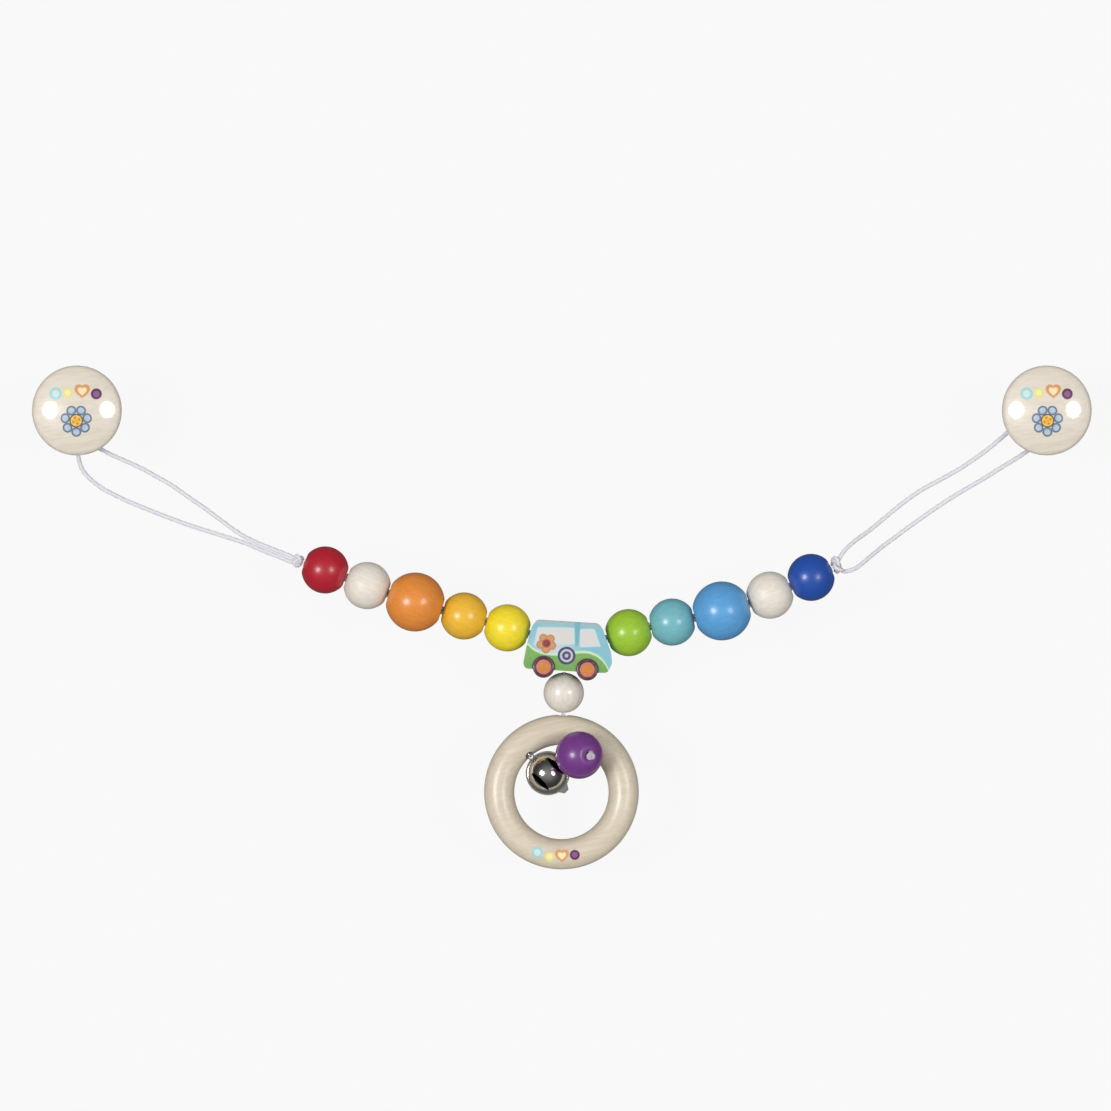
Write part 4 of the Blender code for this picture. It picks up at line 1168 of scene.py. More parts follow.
    @staticmethod
    def tube(name: str, routes: Sequence[Route], radius: float, sides: int = 14, relief: float = 0.05,
             closed: bool = False, lay: float = 3.2 * MM) -> Piece:
        """Run a round cord along one or more routes, with a UV map in lays and turns.

        Args:
            name: The piece's name.
            routes: Points close together along each strand.
            radius: The cord's radius.
            sides: Sides of its round.
            relief: How far the braid's yarns stand out, as a share of the radius.
            closed: Whether each route runs back into its start.
            lay: Length of one repeat of its braid.

        Returns:
            The piece.
        """
        points: list[Vector] = []
        faces: list[list[int]] = []
        wraps: list[list[Pair]] = []
        for route in routes:
            base = len(points)
            count = len(route)
            side = None
            travelled = 0.0
            marks = []
            for index, place in enumerate(route):
                before = route[index - 1] if index or closed else route[index]
                after = route[(index + 1) % count] if index + 1 < count or closed else route[index]
                along = (after - before).normalized()
                if side is None:
                    side = along.orthogonal().normalized()
                side = (side - along * side.dot(along)).normalized()
                other = along.cross(side)
                if index:
                    travelled += (place - route[index - 1]).length
                marks.append(travelled / lay)
                for step in range(sides):
                    angle = math.tau * step / sides
                    swell = 1.0 + relief * math.sin(math.tau * (marks[-1] + step / sides * 2))
                    points.append(place + (side * math.cos(angle) + other * math.sin(angle)) * radius * swell)
            marks.append(marks[-1] + (route[0] - route[-1]).length / lay)
            for index in range(count if closed else count - 1):
                low = base + index * sides
                high = base + (index + 1) % count * sides
                u0, u1 = marks[index], marks[index + 1]
                for step in range(sides):
                    after = (step + 1) % sides
                    faces.append([low + step, low + after, high + after, high + step])
                    v0, v1 = step / sides, (step + 1) / sides
                    wraps.append([(u0, v0), (u0, v1), (u1, v1), (u1, v0)])
            if not closed:
                for start, order in ((base, -1), (base + (count - 1) * sides, 1)):
                    faces.append([start + step for step in range(sides)][::order])
                    wraps.append([(0.0, 0.0)] * sides)
        data = bpy.data.meshes.new(name)
        data.from_pydata([tuple(point) for point in points], [], faces)
        flat = [pair for wrap in wraps for pair in wrap]
        for loop, pair in zip(data.uv_layers.new(name="UVMap").data, flat):
            loop.uv = pair
        piece = bpy.data.objects.new(name, data)
        bpy.context.collection.objects.link(piece)
        return Bench.smoothed(piece, 60.0)


class Packed:
    """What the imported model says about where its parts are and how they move."""

    def __init__(self, frame: dict) -> None:
        """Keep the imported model's nodes, and its joints by name."""
        self.nodes = frame["nodes"]
        self.joints = {joint["name"]: joint for joint in frame["record"]["behaviour"]["joints"]}

    def pivot(self, joint: str) -> Vector:
        """Place of a joint."""
        return Vector(self.joints[joint]["pos_m"])

    def axis(self, joint: str) -> Vector:
        """Direction of a joint's axis."""
        return Vector(self.joints[joint]["axis"]).normalized()

    def middle(self, node: str) -> Vector:
        """Middle of a node's box."""
        low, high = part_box(node)
        return (low + high) / 2


def settle(piece: Piece, body: str, node: str) -> None:
    """Let a piece ride on its body in the place of its node, and report it.

    Args:
        piece: The piece.
        body: The body that it rides on.
        node: The node that it stands for.
    """
    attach(piece, body)
    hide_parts(node)
    LOG.info("%s rides on %s with %d faces", piece.name, body, len(piece.data.polygons))


# Routes of the cords and of the screw eye's wire in millimetres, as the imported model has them
LEFT_LOOP = (
    (-114.07, 23.54, 11.04), (-118.89, 25.51, 10.17), (-123.89, 27.39, 8.49), (-128.49, 29.28, 6.44),
    (-133.08, 31.23, 4.33), (-138.09, 32.87, 2.46), (-143.0, 34.41, 1.55), (-148.2, 36.05, 0.95),
    (-153.84, 37.81, 0.89), (-158.79, 39.48, 0.89), (-163.74, 41.29, 0.9), (-168.69, 43.18, 0.9),
    (-173.65, 45.14, 0.9), (-178.93, 47.26, 0.9), (-184.35, 49.55, 0.9), (-189.17, 51.94, 0.9),
    (-193.82, 54.38, 0.9), (-198.12, 57.62, 0.9), (-201.81, 61.56, 0.9), (-203.76, 66.4, 0.98),
    (-204.3, 71.73, 1.08), (-204.25, 74.63, 1.05), (-204.25, 76.16, 2.05), (-204.25, 76.61, 2.76),
    (-204.26, 76.6, 3.09), (-204.49, 75.82, 3.98), (-204.47, 74.96, 4.6), (-204.25, 74.63, 4.8),
    (-203.26, 74.2, 4.97), (-198.97, 72.98, 4.22), (-194.33, 70.88, 2.23), (-189.73, 68.48, 1.07),
    (-184.77, 66.28, 0.89), (-179.83, 64.1, 0.9), (-174.88, 61.6, 0.9), (-170.49, 59.13, 0.9),
    (-165.24, 56.17, 0.9), (-160.69, 53.03, 0.9), (-156.13, 49.79, 0.9), (-151.5, 46.64, 0.9),
    (-147.24, 43.5, 0.91), (-142.97, 40.36, 1.15), (-138.71, 37.23, 1.92), (-134.41, 34.43, 3.31),
    (-129.74, 32.12, 5.38), (-125.15, 30.18, 7.58), (-120.57, 28.38, 9.37), (-115.63, 26.45, 10.66),
    (-113.54, 25.58, 11.04),
)
RIGHT_LOOP = (
    (118.97, 19.37, 11.04), (123.89, 20.9, 9.99), (127.66, 23.76, 8.09), (131.35, 26.81, 5.93),
    (135.26, 29.97, 3.68), (139.51, 33.03, 2.02), (143.77, 36.21, 1.16), (148.21, 39.41, 0.87),
    (152.36, 42.38, 0.9), (156.71, 45.42, 0.9), (161.11, 48.38, 0.9), (166.05, 51.54, 0.9),
    (170.97, 54.48, 0.9), (175.88, 57.29, 0.9), (180.35, 60.02, 0.9), (185.1, 63.0, 0.9),
    (190.02, 66.0, 0.9), (194.63, 68.95, 0.94), (199.17, 72.18, 1.28), (202.15, 74.63, 1.05),
    (202.35, 75.36, 1.53), (202.15, 76.63, 2.92), (201.87, 76.78, 3.51), (200.82, 76.6, 4.65),
    (200.34, 76.43, 4.9), (199.69, 76.53, 4.95), (195.14, 79.31, 4.4), (193.07, 79.72, 3.72),
    (189.26, 78.83, 2.08), (185.31, 75.58, 1.03), (181.19, 72.09, 0.9), (177.07, 68.96, 0.9),
    (172.59, 65.83, 0.9), (168.09, 62.86, 0.9), (163.14, 60.01, 0.9), (158.15, 57.27, 0.9),
    (152.98, 54.46, 0.9), (148.21, 51.44, 0.89), (143.75, 48.13, 0.95), (139.49, 44.75, 1.26),
    (135.29, 41.24, 2.13), (131.41, 38.05, 3.56), (127.51, 35.13, 5.51), (123.58, 32.35, 7.68),
    (119.69, 28.92, 9.83), (116.82, 25.04, 11.04),
)
DANGLE_CORD = (
    (0.3, -53.68, 6.37), (0.09, -55.0, 6.0), (0.17, -55.31, 6.19), (2.24, -57.43, 10.73),
    (4.77, -57.7, 15.76), (7.24, -57.67, 20.6), (9.66, -57.67, 25.36), (11.4, -57.67, 28.75),
)
RING_CORD = (
    (0.59, -40.54, 7.19), (0.45, -46.9, 6.78), (0.3, -53.28, 6.39),
)
PENDANT_CORD = (
    (0.99, -23.14, 9.77), (0.86, -28.8, 8.92), (0.73, -34.5, 8.08), (0.6, -40.14, 7.23),
)
PENDANT_TIE = (
    (1.74, -11.01, 9.8), (1.39, -16.7, 9.8), (1.03, -22.34, 9.8),
)
SCREW_EYE = (
    (-17.59, -53.33, 8.9), (-14.75, -56.63, 8.9), (-14.45, -56.97, 9.36), (-14.26, -57.19, 9.74),
    (-13.99, -57.51, 9.96), (-13.68, -57.87, 9.98), (-13.39, -58.2, 9.8), (-13.18, -58.45, 9.45),
    (-13.08, -58.55, 9.0), (-13.13, -58.51, 8.52), (-13.29, -58.31, 8.12), (-13.55, -58.01, 7.87),
    (-13.86, -57.65, 7.8), (-14.16, -57.31, 7.95),
)


@dataclass(frozen=True)
class BeadShape:
    """Sizes of a turned bead with flattened ends."""

    diameter: float
    end_cut: float
    bore: float

    def model(self, name: str) -> Piece:
        """Turn the bead about the origin, with its bore along Z.

        Args:
            name: The model's name.

        Returns:
            The model.
        """
        radius = self.diameter / 2
        half = radius - self.end_cut
        edge = math.sqrt(radius ** 2 - half ** 2)
        soft = min(0.45 * MM, (edge - self.bore) * 0.4)
        top = [(self.bore, half - soft), (self.bore + soft * 0.12, half - soft * 0.45),
               (self.bore + soft * 0.45, half - soft * 0.1), (self.bore + soft, half),
               (edge - soft, half), (edge - soft * 0.25, half - soft * 0.12)]
        shoulder = math.asin((half - soft * 0.5) / radius)
        bottom = [(place, -height) for place, height in reversed(top)]
        profile = [*top, *arc(radius, shoulder, -shoulder, 40), *bottom]
        return Bench.smoothed(Bench.turned(name, profile, 72))


SMALL_BEAD = BeadShape(19.88 * MM, 0.85 * MM, STRING_BORE)
BIG_BEAD = BeadShape(24.86 * MM, 0.85 * MM, STRING_BORE)
PENDANT_BEAD = BeadShape(17.0 * MM, 0.3 * MM, BORE)
PURPLE_BEAD = BeadShape(20.0 * MM, 0.85 * MM, BORE)


class BeadPaint(Enum):
    """Screen colours of the painted beads."""

    YELLOW = paint(238, 215, 35)
    AMBER = paint(232, 180, 45)
    ORANGE = paint(224, 135, 50)
    RED = paint(176, 16, 40)
    GREEN = paint(152, 194, 46)
    TURQUOISE = paint(112, 178, 188)
    LIGHT_BLUE = paint(85, 155, 210)
    ROYAL_BLUE = paint(24, 74, 164)
    PURPLE = paint(112, 50, 130)


@dataclass
class Beads:
    """All the turned beads, copied from one model of each shape and set on their spin axes."""

    pack: Packed
    pale: Colour = paint(226, 220, 211)
    deep: Colour = paint(204, 192, 174)
    gloss: float = 0.45
    coats: tuple[Pair, Pair] = ((0.08, 0.26), (0.8, 0.13))
    stock: dict[BeadShape, Piece] = field(default_factory=dict)

    def add(self, node: str, shape: BeadShape, colour: BeadPaint | None) -> None:
        """Copy a bead to its place and finish it.

        Args:
            node: The node and body that it stands for.
            shape: Its shape.
            colour: Its paint, or None for clear-lacquered wood.
        """
        if shape not in self.stock:
            self.stock[shape] = shape.model(f"bead_model_{len(self.stock) + 1}")
        centre, turn = self.pack.pivot(f"{node}_spin"), upright(self.pack.axis(f"{node}_spin"))
        bead = Bench.placed(Bench.copied(self.stock[shape], f"{node}_turned"), centre, turn)
        if colour is None:
            hangs = node == "pendant_bead"
            wood = NaturalWood(f"{node}_wood", centre, turn, self.pale, self.deep, self.gloss,
                               *self.coats[hangs])
            wood.dress(bead)
        else:
            PaintedBead(f"{node}_paint", colour.value, centre, turn, shape.bore).dress(bead)
        settle(bead, node, node)

    def build(self) -> None:
        """Build every bead."""
        for node, shape, colour in (
                ("yellow_bead", SMALL_BEAD, BeadPaint.YELLOW), ("amber_bead", SMALL_BEAD, BeadPaint.AMBER),
                ("orange_bead", BIG_BEAD, BeadPaint.ORANGE), ("left_natural_bead", SMALL_BEAD, None),
                ("red_bead", SMALL_BEAD, BeadPaint.RED), ("green_bead", SMALL_BEAD, BeadPaint.GREEN),
                ("turquoise_bead", SMALL_BEAD, BeadPaint.TURQUOISE),
                ("light_blue_bead", BIG_BEAD, BeadPaint.LIGHT_BLUE), ("right_natural_bead", SMALL_BEAD, None),
                ("royal_blue_bead", SMALL_BEAD, BeadPaint.ROYAL_BLUE), ("pendant_bead", PENDANT_BEAD, None),
                ("purple_bead", PURPLE_BEAD, BeadPaint.PURPLE)):
            self.add(node, shape, colour)
        for model in self.stock.values():
            bpy.data.objects.remove(model, do_unlink=True)


@dataclass(frozen=True)
class Knot:
    """An overhand knot with one or two strands, and the cord's direction through it."""

    node: str
    body: str
    axis: Triple
    width: float
    thickness: float
    doubled: bool

    def routes(self, centre: Vector, tube: float) -> list[list[Vector]]:
        """Lead each strand once round the knot.

        Args:
            centre: The knot's place.
            tube: The cord's radius in it.

        Returns:
            The routes.
        """
        turn = upright(Vector(self.axis))
        made = []
        for share, lift in ((1.0, 0.25 * MM), (0.66, -0.25 * MM)) if self.doubled else ((1.0, 0.0),):
            reach = (self.width / 2 - tube) / 3.0 * share
            rise = self.thickness / 2 - tube - abs(lift)
            route = []
            for step in range(72):
                angle = math.tau * step / 72
                place = Vector((math.sin(angle) + 2.0 * math.sin(2.0 * angle),
                                math.cos(angle) - 2.0 * math.cos(2.0 * angle), 0.0)) * reach
                place.z = lift - math.sin(3.0 * angle) * rise
                route.append(centre + turn @ place)
            made.append(route)
        return made


@dataclass
class Cords:
    """The doubled string, the pendant's single cord, the end loops and the knots."""

    pack: Packed
    radius: float = 0.9 * MM
    spread: float = 0.85 * MM
    height: float = 11.25 * MM
    knot_share: float = 0.86
    loop_lengths: Pair = (0.223, 0.2125)

    def lay(self, name: str, routes: Sequence[Route], body: str, node: str, share: float = 1.0,
            closed: bool = False) -> Piece:
        """Braid one piece of cord; the short one that holds the purple bead is greyer.

        Args:
            name: The piece's name.
            routes: The routes of its strands.
            body: The body that it rides on.
            node: The node that it stands for.
            share: Its thickness as a share of the cord's.
            closed: Whether each strand runs back into its start.

        Returns:
            The piece.
        """
        piece = Bench.tube(name, routes, self.radius * share, closed=closed)
        (GREY_CORD if body == "dangle" else LILAC_CORD).dress(piece)
        settle(piece, body, node)
        return piece

    def loops(self) -> None:
        """Lay the two end loops, which run from a knot round a clip's bar and back."""
        for side, table, length in zip(("left", "right"), (LEFT_LOOP, RIGHT_LOOP), self.loop_lengths):
            points = points_of(table)
            inside = self.pack.middle(f"{side}_knot")
            points = [points[0].lerp(inside, 0.6), *points, points[-1].lerp(inside, 0.6)]
            route = Bench.fine_route(points, 0.55 * MM)
            loop = self.lay(f"{side}_loop_braid", [route], f"{side}_loop_cord", f"{side}_loop")

    def string(self) -> None:
        """Run the doubled string through the van and all the string beads."""
        stretches = [("van_strands", "van", "van_cord", "left_bend_1", "right_bend_1")]
        for side in ("left", "right"):
            stops = [*(f"{side}_bend_{number}" for number in range(1, 6)), f"{side}_loop_bend"]
            for number, (start, end) in enumerate(zip(stops, stops[1:]), 1):
                stretches.append((f"{side}_strands_{number}", f"{side}_link_{number}",
                                  f"{side}_cord_{number}", start, end))
        for name, body, node, *joints in stretches:
            start, end = (self.pack.pivot(joint) for joint in joints)
            start.z = end.z = self.height
            along = (end - start).normalized()
            across = Vector((-along.y, along.x, 0.0)) * self.spread
            count = max(6, round((end - start).length / (0.6 * MM)))
            self.lay(name, [[start.lerp(end, step / count) + across * side for step in range(count + 1)]
                            for side in (-1.0, 1.0)], body, node)

    def build(self) -> None:
        """Build every cord and knot."""
        self.loops()
        self.string()
        for name, body, node, table in (
                ("ring_strand", "ring_link", "ring_cord", RING_CORD),
                ("pendant_strand", "pendant", "pendant_cord", PENDANT_CORD),
                ("pendant_tie_strand", "van", "pendant_tie", PENDANT_TIE),
                ("dangle_strand", "dangle", "dangle_cord", DANGLE_CORD)):
            self.lay(name, [Bench.fine_route(points_of(table), 0.5 * MM)], body, node)
        for knot in (Knot("left_knot", "left_loop_cord", (-0.9415, 0.3371, 0.0), 6.4 * MM, 4.2 * MM, True),
                     Knot("right_knot", "right_loop_cord", (0.915, 0.4035, 0.0), 8.6 * MM, 4.2 * MM, True),
                     Knot("dangle_knot", "dangle", (0.454, 0.0, 0.891), 4.2 * MM, 2.4 * MM, False)):
            share = self.knot_share if knot.doubled else 1.0
            routes = knot.routes(self.pack.middle(knot.node), self.radius * share)
            self.lay(f"{knot.node}_braid", routes, knot.body, knot.node, share, closed=True)


@dataclass
class Van:
    """The wooden van with its two wheels, bored for the string and for the pendant's tie; in millimetres."""

    pack: Packed
    centre: Triple = (2.17, -5.78, 0.0)
    tilt: float = -3.6 * DEG
    rear: float = -17.6
    bottom: float = -16.6
    length: float = 37.4
    height: float = 20.7
    depth: float = 17.6
    middle: float = 10.0
    corner: float = 1.9
    edge: float = 1.3
    string_place: float = -2.3
    tie_place: Triple = (-0.10, -12.3, 9.8)
    wheels: tuple[Pair, ...] = ((-8.886, -15.50), (9.478, -15.50))
    wheel_half: float = 10.0
    wheel_face: tuple[Pair, ...] = (
        (0.0, -0.22), (1.1, -0.24), (1.9, -0.34), (3.15, -0.36), (3.4, -0.12),
        (3.6, -0.02), (3.95, 0.0), (4.3, -0.12), (4.5, -0.4), (4.55, -0.9),
    )
    outline: tuple[Pair, ...] = (
        (0.030, 0.0), (0.0, 0.090), (0.032, 0.533), (0.076, 0.870), (0.129, 1.0), (0.817, 1.0),
        (0.868, 0.908), (0.980, 0.427), (1.0, 0.214), (0.953, 0.016), (0.820, 0.0),
    )

    def body(self) -> Piece:
        """Saw the van's block to its outline and round its corners and edges.

        Returns:
            The block.
        """
        corners = [(self.rear + x * self.length, self.bottom + y * self.height)
                   for x, y in reversed(self.outline)]
        low, high = (self.middle - self.depth / 2) * MM, (self.middle + self.depth / 2) * MM
        body = Bench.slab("van_block", metres(corners), low, high)
        Bench.bevelled(body, lambda a, b: abs(a.z - b.z) > self.depth * MM * 0.9, self.corner * MM, 8)
        Bench.bevelled(
            body, lambda a, b: abs(a.z - b.z) < 1e-6 and min(abs(a.z - low), abs(a.z - high)) < 1e-6,
            self.edge * MM, 7)
        return body

    def wheel(self, place: Pair) -> Piece:
        """Turn one wheel that goes through the van, with a rounded tread and a dished hub.

        Args:
            place: Its middle in X and Y.

        Returns:
            The wheel.
        """
        profile = metres([(radius, self.wheel_half + height) for radius, height in self.wheel_face])
        profile += [(radius, -height) for radius, height in reversed(profile)]
        return Bench.placed(Bench.turned("wheel", profile, 72), Vector((*place, self.middle)) * MM)

    def build(self) -> None:
        """Build the van."""
        van = self.body()
        for place in self.wheels:
            Bench.joined(van, self.wheel(place), "UNION")
        string = Vector((0.0, self.string_place, self.middle)) * MM
        Bench.bored(van, STRING_BORE, 60 * MM, string, Vector((1.0, 0.0, 0.0)))
        Bench.bored(van, BORE, 20 * MM, Vector(self.tie_place) * MM, Vector((0.0, -1.0, 0.0)))
        centre, turn = Vector(self.centre) * MM, Matrix.Rotation(self.tilt, 3, "Z")
        Bench.smoothed(Bench.placed(van, centre, turn), 32.0)
        VanPaint("van_paint", centre, turn, self.wheels, self.wheel_face[-1][0]).dress(van)
        settle(van, "van", "van")


@dataclass
class Pendant:
    """The natural ring with the bell's screw eye, and the bell with its clapper; outlines in millimetres."""

    pack: Packed
    ring_size: float = 65.2 * MM
    section: float = 12.74 * MM
    ring_hole: float = 2.5 * MM
    pocket: tuple[Pair, ...] = (
        (0.0, 6.9), (0.4, 6.9), (0.4, 3.0), (1.7, 3.0), (2.1, 2.6), (2.1, -4.0), (0.0, -4.0),
    )
    eye_bearing: float = 130.8 * DEG
    wire: float = 0.35 * MM
    bell_size: float = 17.2 * MM
    wall: float = 0.45 * MM
    seam: float = 0.15 * MM
    flange: float = 0.7 * MM
    heading: float = -44.2 * DEG
    lug_hole: float = 0.85 * MM
    lug: Pair = (10.0, 1.4)
    leaf_root: float = 8.9
    tab: Triple = (11.1, 2.6, 1.1)
    slot_spread: float = 4.6 * MM
    slot_half: float = 1.1 * MM

    def ring(self) -> None:
        """Turn the ring and drill it for its cord and for the screw eye."""
        centre, mouth = self.pack.pivot("ring_twist"), self.pack.pivot("dangle_lift")
        tube = self.section / 2
        bpy.ops.object.select_all(action="DESELECT")
        bpy.ops.mesh.primitive_torus_add(major_segments=192, minor_segments=72, minor_radius=tube,
                                         major_radius=self.ring_size / 2 - tube)
        ring = Bench.placed(Bench.started("ring_turned"), centre)
        with Bench.editing(ring):
            Bench.face_out()
        up = (mouth - centre).normalized()
        Bench.bored(ring, self.ring_hole, 30 * MM, mouth + up * 12 * MM, up, 64)
        out = Vector((math.cos(self.eye_bearing), math.sin(self.eye_bearing), 0.0))
        tool = Bench.turned("pocket", metres(self.pocket), 48)
        Bench.joined(ring, Bench.placed(tool, self.pack.pivot("bell_swing"), upright(out)))
        Bench.smoothed(ring, 32.0)
        grain = upright(Vector((1.0, 0.25, 0.0)))
        PrintedRing("ring_wood", centre, grain, paint(212, 201, 184), paint(188, 174, 148)).dress(ring)
        settle(ring, "ring", "wooden_ring")

    def eye(self) -> None:
        """Bend the screw eye out of wire."""
        route = Bench.fine_route(points_of(SCREW_EYE), 0.12 * MM)
        eye = Bench.tube("screw_eye_wire", [route], self.wire, sides=20, relief=0.0)
        MetalKind.BELL.value.dress(eye)
        settle(eye, "ring", "screw_eye")

    def dome(self, name: str) -> Piece:
        """Press the round part of one half of the bell, with its flange.

        Args:
            name: The piece's name.

        Returns:
            The piece.
        """
        outer = self.bell_size / 2
        inner, rise, rim = outer - self.wall, self.seam + self.wall, outer + self.flange
        quarter = math.pi / 2
        soft = 0.12 * MM
        profile = [(0.0, outer), *arc(outer, quarter, math.asin((rise + 0.35 * MM) / outer), 28)[1:],
                   (outer + soft / 2, rise + soft), (outer + 0.2 * MM, rise), (rim - soft, rise),
                   (rim, rise - soft), (rim, self.seam),
                   *arc(inner, math.asin(self.seam / inner), quarter, 24)[:-1], (0.0, inner)]
        return Bench.turned(name, profile, 112)

    def paint_inside_shade(self, shell: Piece) -> None:
        """Give a shell its metal, and a near-black painted shade on its inside, where the hollow bell is dark
        only from shade.

        Args:
            shell: The shell.
        """
        inner = self.bell_size / 2 - self.wall + 0.05 * MM
        # Painted shade: the inner faces get a near-black metal that stands in for the shade inside the closed
        # bell.
        for kind in (MetalKind.BELL, MetalKind.INSIDE):
            shell.data.materials.append(kind.value.made())
        shell.active_material_index = 1
        with Bench.editing(shell):
            bpy.ops.mesh.select_mode(type="VERT")
            bpy.ops.mesh.select_all(action="DESELECT")
            Bench.pick(lambda place: place.length < inner)
            bpy.ops.object.material_slot_assign()

    def shell(self, name: str, flip: float, slot_turn: float, slot_reach: float) -> Piece:
        """Press one half of the bell, with its flange, lug, tab and slots.

        Args:
            name: The piece's name.
            flip: Turn about the bell's long axis.
            slot_turn: Direction of the slots, from the long axis.
            slot_reach: Half the slots' length.

        Returns:
            The shell.
        """
        shell = self.dome(name)
        root, (lug, radius), (tab, wide, narrow) = self.leaf_root, self.lug, self.tab
        rounded = [(-lug + x, y) for x, y in arc(radius, 270 * DEG, 90 * DEG, 15)]
        for outline in ([(-root, -radius), *rounded, (-root, radius)][::-1],
                        [(root, -wide), (tab, -narrow), (tab, narrow), (root, wide)]):
            leaf = Bench.slab("leaf", metres(outline), self.seam, self.seam + self.wall)
            Bench.joined(shell, leaf, "UNION")
        along = Vector((0.0, 0.0, 1.0))
        Bench.bored(shell, self.lug_hole, 8 * MM, Vector((-lug * MM, 0.0, 0.0)), along)
        for side in (-1.0, 1.0):
            lens = [(slot_reach * x, side * self.slot_spread + self.slot_half * y)
                    for x, y in arc(1.0, 5 * DEG, 355 * DEG, 35)]
            slot = Bench.slab("slot", lens, 4 * MM, 12 * MM)
            Bench.joined(shell, Bench.placed(slot, turn=Matrix.Rotation(slot_turn, 3, "Z")))
        self.paint_inside_shade(shell)
        turn = Matrix.Rotation(self.heading, 3, "Z") @ Matrix.Rotation(flip, 3, "X")
        out = Vector((math.cos(self.heading), math.sin(self.heading), 0.0))
        centre = self.pack.pivot("bell_swing") + out * lug * MM
        return Bench.smoothed(Bench.placed(shell, centre, turn), 28.0)

    def build(self) -> None:
        """Build the ring, its eye and the bell, and dress the clapper."""
        self.ring()
        self.eye()
        for node, flip, slot_turn, slot_reach in (("bell_front_shell", 0.0, 0.0, 4.9 * MM),
                                                  ("bell_back_shell", math.pi, math.pi / 2, 4.0 * MM)):
            settle(self.shell(f"{node}_pressed", flip, slot_turn, slot_reach), "bell", node)
        MetalKind.CLIP.value.dress(self.pack.nodes["bell_clapper"])


@dataclass
class Clips:
    """The two lever clips and their domed wooden discs; in millimetres."""

    pack: Packed
    size: float = 37.8
    underside: float = 8.2
    curve: float = 42.0
    rounding: float = 1.5
    peg_radius: float = 1.3
    peg_depth: float = 2.7
    foot: tuple[Pair, ...] = ((-0.08, 0.42), (-0.3, 0.2), (-0.6, 0.05), (-0.9, 0.0))

    def disc(self, side: str) -> None:
        """Turn one domed disc with a rounded rim and a small foot chamfer.

        Args:
            side: The clip's side.
        """
        low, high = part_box(f"{side}_disc")
        centre = Vector(((low.x + high.x) / 2, (low.y + high.y) / 2, 0.0))
        radius, apex = self.size / 2, high.z / MM
        shoulder = radius - self.rounding
        profile = [(0.0, apex)]
        for step in range(1, 31):
            place = shoulder * step / 30
            profile.append((place, apex - self.curve + math.sqrt(self.curve ** 2 - place ** 2)))
        slope = math.asin(shoulder / self.curve)
        bend = self.rounding / (1.0 - math.sin(slope))
        inset, drop = shoulder - bend * math.sin(slope), profile[-1][1] - bend * math.cos(slope)
        profile += [(inset + x, drop + y) for x, y in arc(bend, math.pi / 2 - slope, 0.0, 8)[1:]]
        profile += [(radius + x, self.underside + y) for x, y in self.foot]
        profile += [(self.peg_radius, self.underside), (self.peg_radius, self.underside + self.peg_depth),
                    (0.0, self.underside + self.peg_depth)]
        disc = Bench.placed(Bench.turned(f"{side}_disc_turned", metres(profile), 144), centre)
        Bench.smoothed(disc, 40.0)
        PrintedDisc(f"{side}_disc_print", centre, upright(Vector((1.0, 0.1, 0.0)))).dress(disc)
        settle(disc, f"{side}_clip_lever", f"{side}_disc")

    def build(self) -> None:
        """Build both clips."""
        metals = (("base_plate", MetalKind.CLIP), ("lever", MetalKind.CLIP), ("hinge_pin", MetalKind.BRASS),
                  ("rivet", MetalKind.BRASS))
        for side in ("left", "right"):
            self.disc(side)
            for node, kind in metals:
                kind.value.dress(self.pack.nodes[f"{side}_{node}"])
            Moulded(f"{side}_jaw_plastic").dress(self.pack.nodes[f"{side}_jaw_insert"])


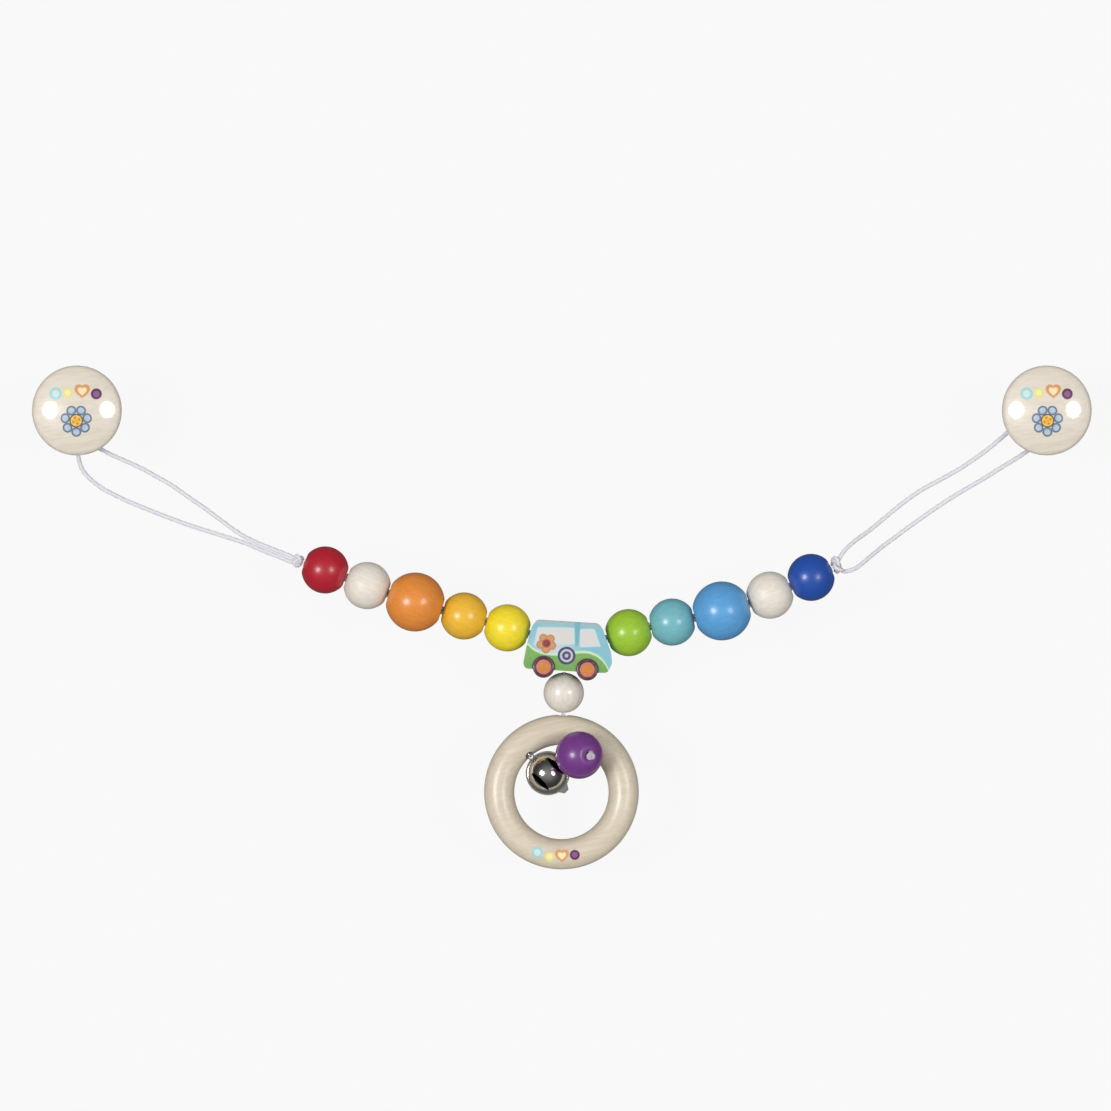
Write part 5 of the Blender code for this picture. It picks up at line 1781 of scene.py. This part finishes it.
@dataclass
class Studio:
    """Camera straight above, pale ground, and soft lights from the left and the right."""

    aim: Triple = (-2.67, 26.14, 10.0)
    width: float = 467.8 * MM
    height: float = 4.0
    lean: float = 33.5 * DEG
    softness: float = 19.0 * DEG
    suns: tuple[tuple[str, float, float], ...] = (("left_light", 178.0, 1.6), ("right_light", 3.0, 0.85))
    floor: float = -30.0 * MM
    floor_grey: float = 0.03
    floor_glow: float = 0.22
    floor_mirrored: float = -0.14
    floor_seen: float = 0.69
    sky: float = 0.60
    sky_mirrored: Pair = (0.04, 0.22)

    def camera(self) -> None:
        """Hang the camera above the toy."""
        data = bpy.data.cameras.new("camera")
        data.sensor_width = 36.0
        data.lens = data.sensor_width * self.height / self.width
        data.clip_end = 20.0
        camera = bpy.data.objects.new("camera", data)
        camera.location = Vector(self.aim) * MM + Vector((0.0, 0.0, self.height))
        bpy.context.collection.objects.link(camera)
        bpy.context.scene.camera = camera

    def lights(self) -> None:
        """Add the soft suns; each has a name, a bearing in degrees from +X and a strength."""
        for name, bearing, energy in self.suns:
            light = bpy.data.lights.new(name, "SUN")
            light.energy = energy
            light.angle = self.softness
            lamp = bpy.data.objects.new(name, light)
            lamp.location = Vector((math.sin(self.lean) * math.cos(bearing * DEG),
                                    math.sin(self.lean) * math.sin(bearing * DEG), math.cos(self.lean)))
            lamp.rotation_euler = lamp.location.to_track_quat("Z", "Y").to_euler()
            bpy.context.collection.objects.link(lamp)

    def by_ray(self, tree: Tree, kind: str, base: Field | float, change: Field | float) -> Field:
        """Give a strength that changes by an amount for one kind of ray.

        Args:
            tree: The tree of nodes.
            kind: The Light Path output of that kind.
            base: Strength for all the other rays.
            change: What is added for that kind.

        Returns:
            The strength.
        """
        path = tree.nodes.new("ShaderNodeLightPath")
        return Field(tree, path.outputs[kind]).work("MULTIPLY_ADD", change, base)

    def ground(self) -> None:
        """Lay a large pale ground, low enough for the ring to turn over it."""
        bpy.ops.object.select_all(action="DESELECT")
        bpy.ops.mesh.primitive_plane_add(size=12.0, location=(0.0, 0.0, self.floor))
        floor = Bench.started("ground")
        sheet = FinishSheet("ground")
        sheet.shader.inputs["Base Color"].default_value = (*[self.floor_grey] * 3, 1.0)
        sheet.shader.inputs["Emission Color"].default_value = (1.0, 1.0, 1.0, 1.0)
        sheet.number("Roughness", 1.0)
        sheet.number("Specular IOR Level", 0.0)
        mirrored = self.by_ray(sheet.tree, "Is Glossy Ray", self.floor_glow, self.floor_mirrored)
        seen = self.by_ray(sheet.tree, "Is Camera Ray", mirrored, self.floor_seen)
        sheet.tree.links.new(seen.socket, sheet.shader.inputs["Emission Strength"])
        floor.data.materials.append(sheet.material)

    def world(self) -> None:
        """Surround the toy with an even light; reflections see it dark below and paler overhead."""
        world = bpy.data.worlds.new("studio")
        world.use_nodes = True
        tree = world.node_tree
        background = tree.nodes["Background"]
        background.inputs["Color"].default_value = (1.0, 1.0, 1.0, 1.0)
        height = Place(tree, tree.nodes.new("ShaderNodeTexCoord").outputs["Generated"]).z
        low, rise = self.sky_mirrored
        overhead = height.most(0.0).work("POWER", 3.0).scaled(rise, low)
        strength = self.by_ray(tree, "Is Glossy Ray", self.sky, overhead - self.sky)
        tree.links.new(strength.socket, background.inputs["Strength"])
        bpy.context.scene.world = world

    def build(self) -> None:
        """Set up the camera, the ground and the lights."""
        self.camera()
        self.ground()
        self.world()
        self.lights()
        bpy.context.scene.view_settings.view_transform = "Standard"


def main() -> None:
    """Build the whole look."""
    logging.basicConfig(level=logging.INFO, format="%(name)s: %(message)s")
    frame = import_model()
    pack = Packed(frame)
    Studio().build()
    for assembly in (Cords, Beads, Van, Pendant, Clips):
        assembly(pack).build()


if __name__ == "__main__":
    main()
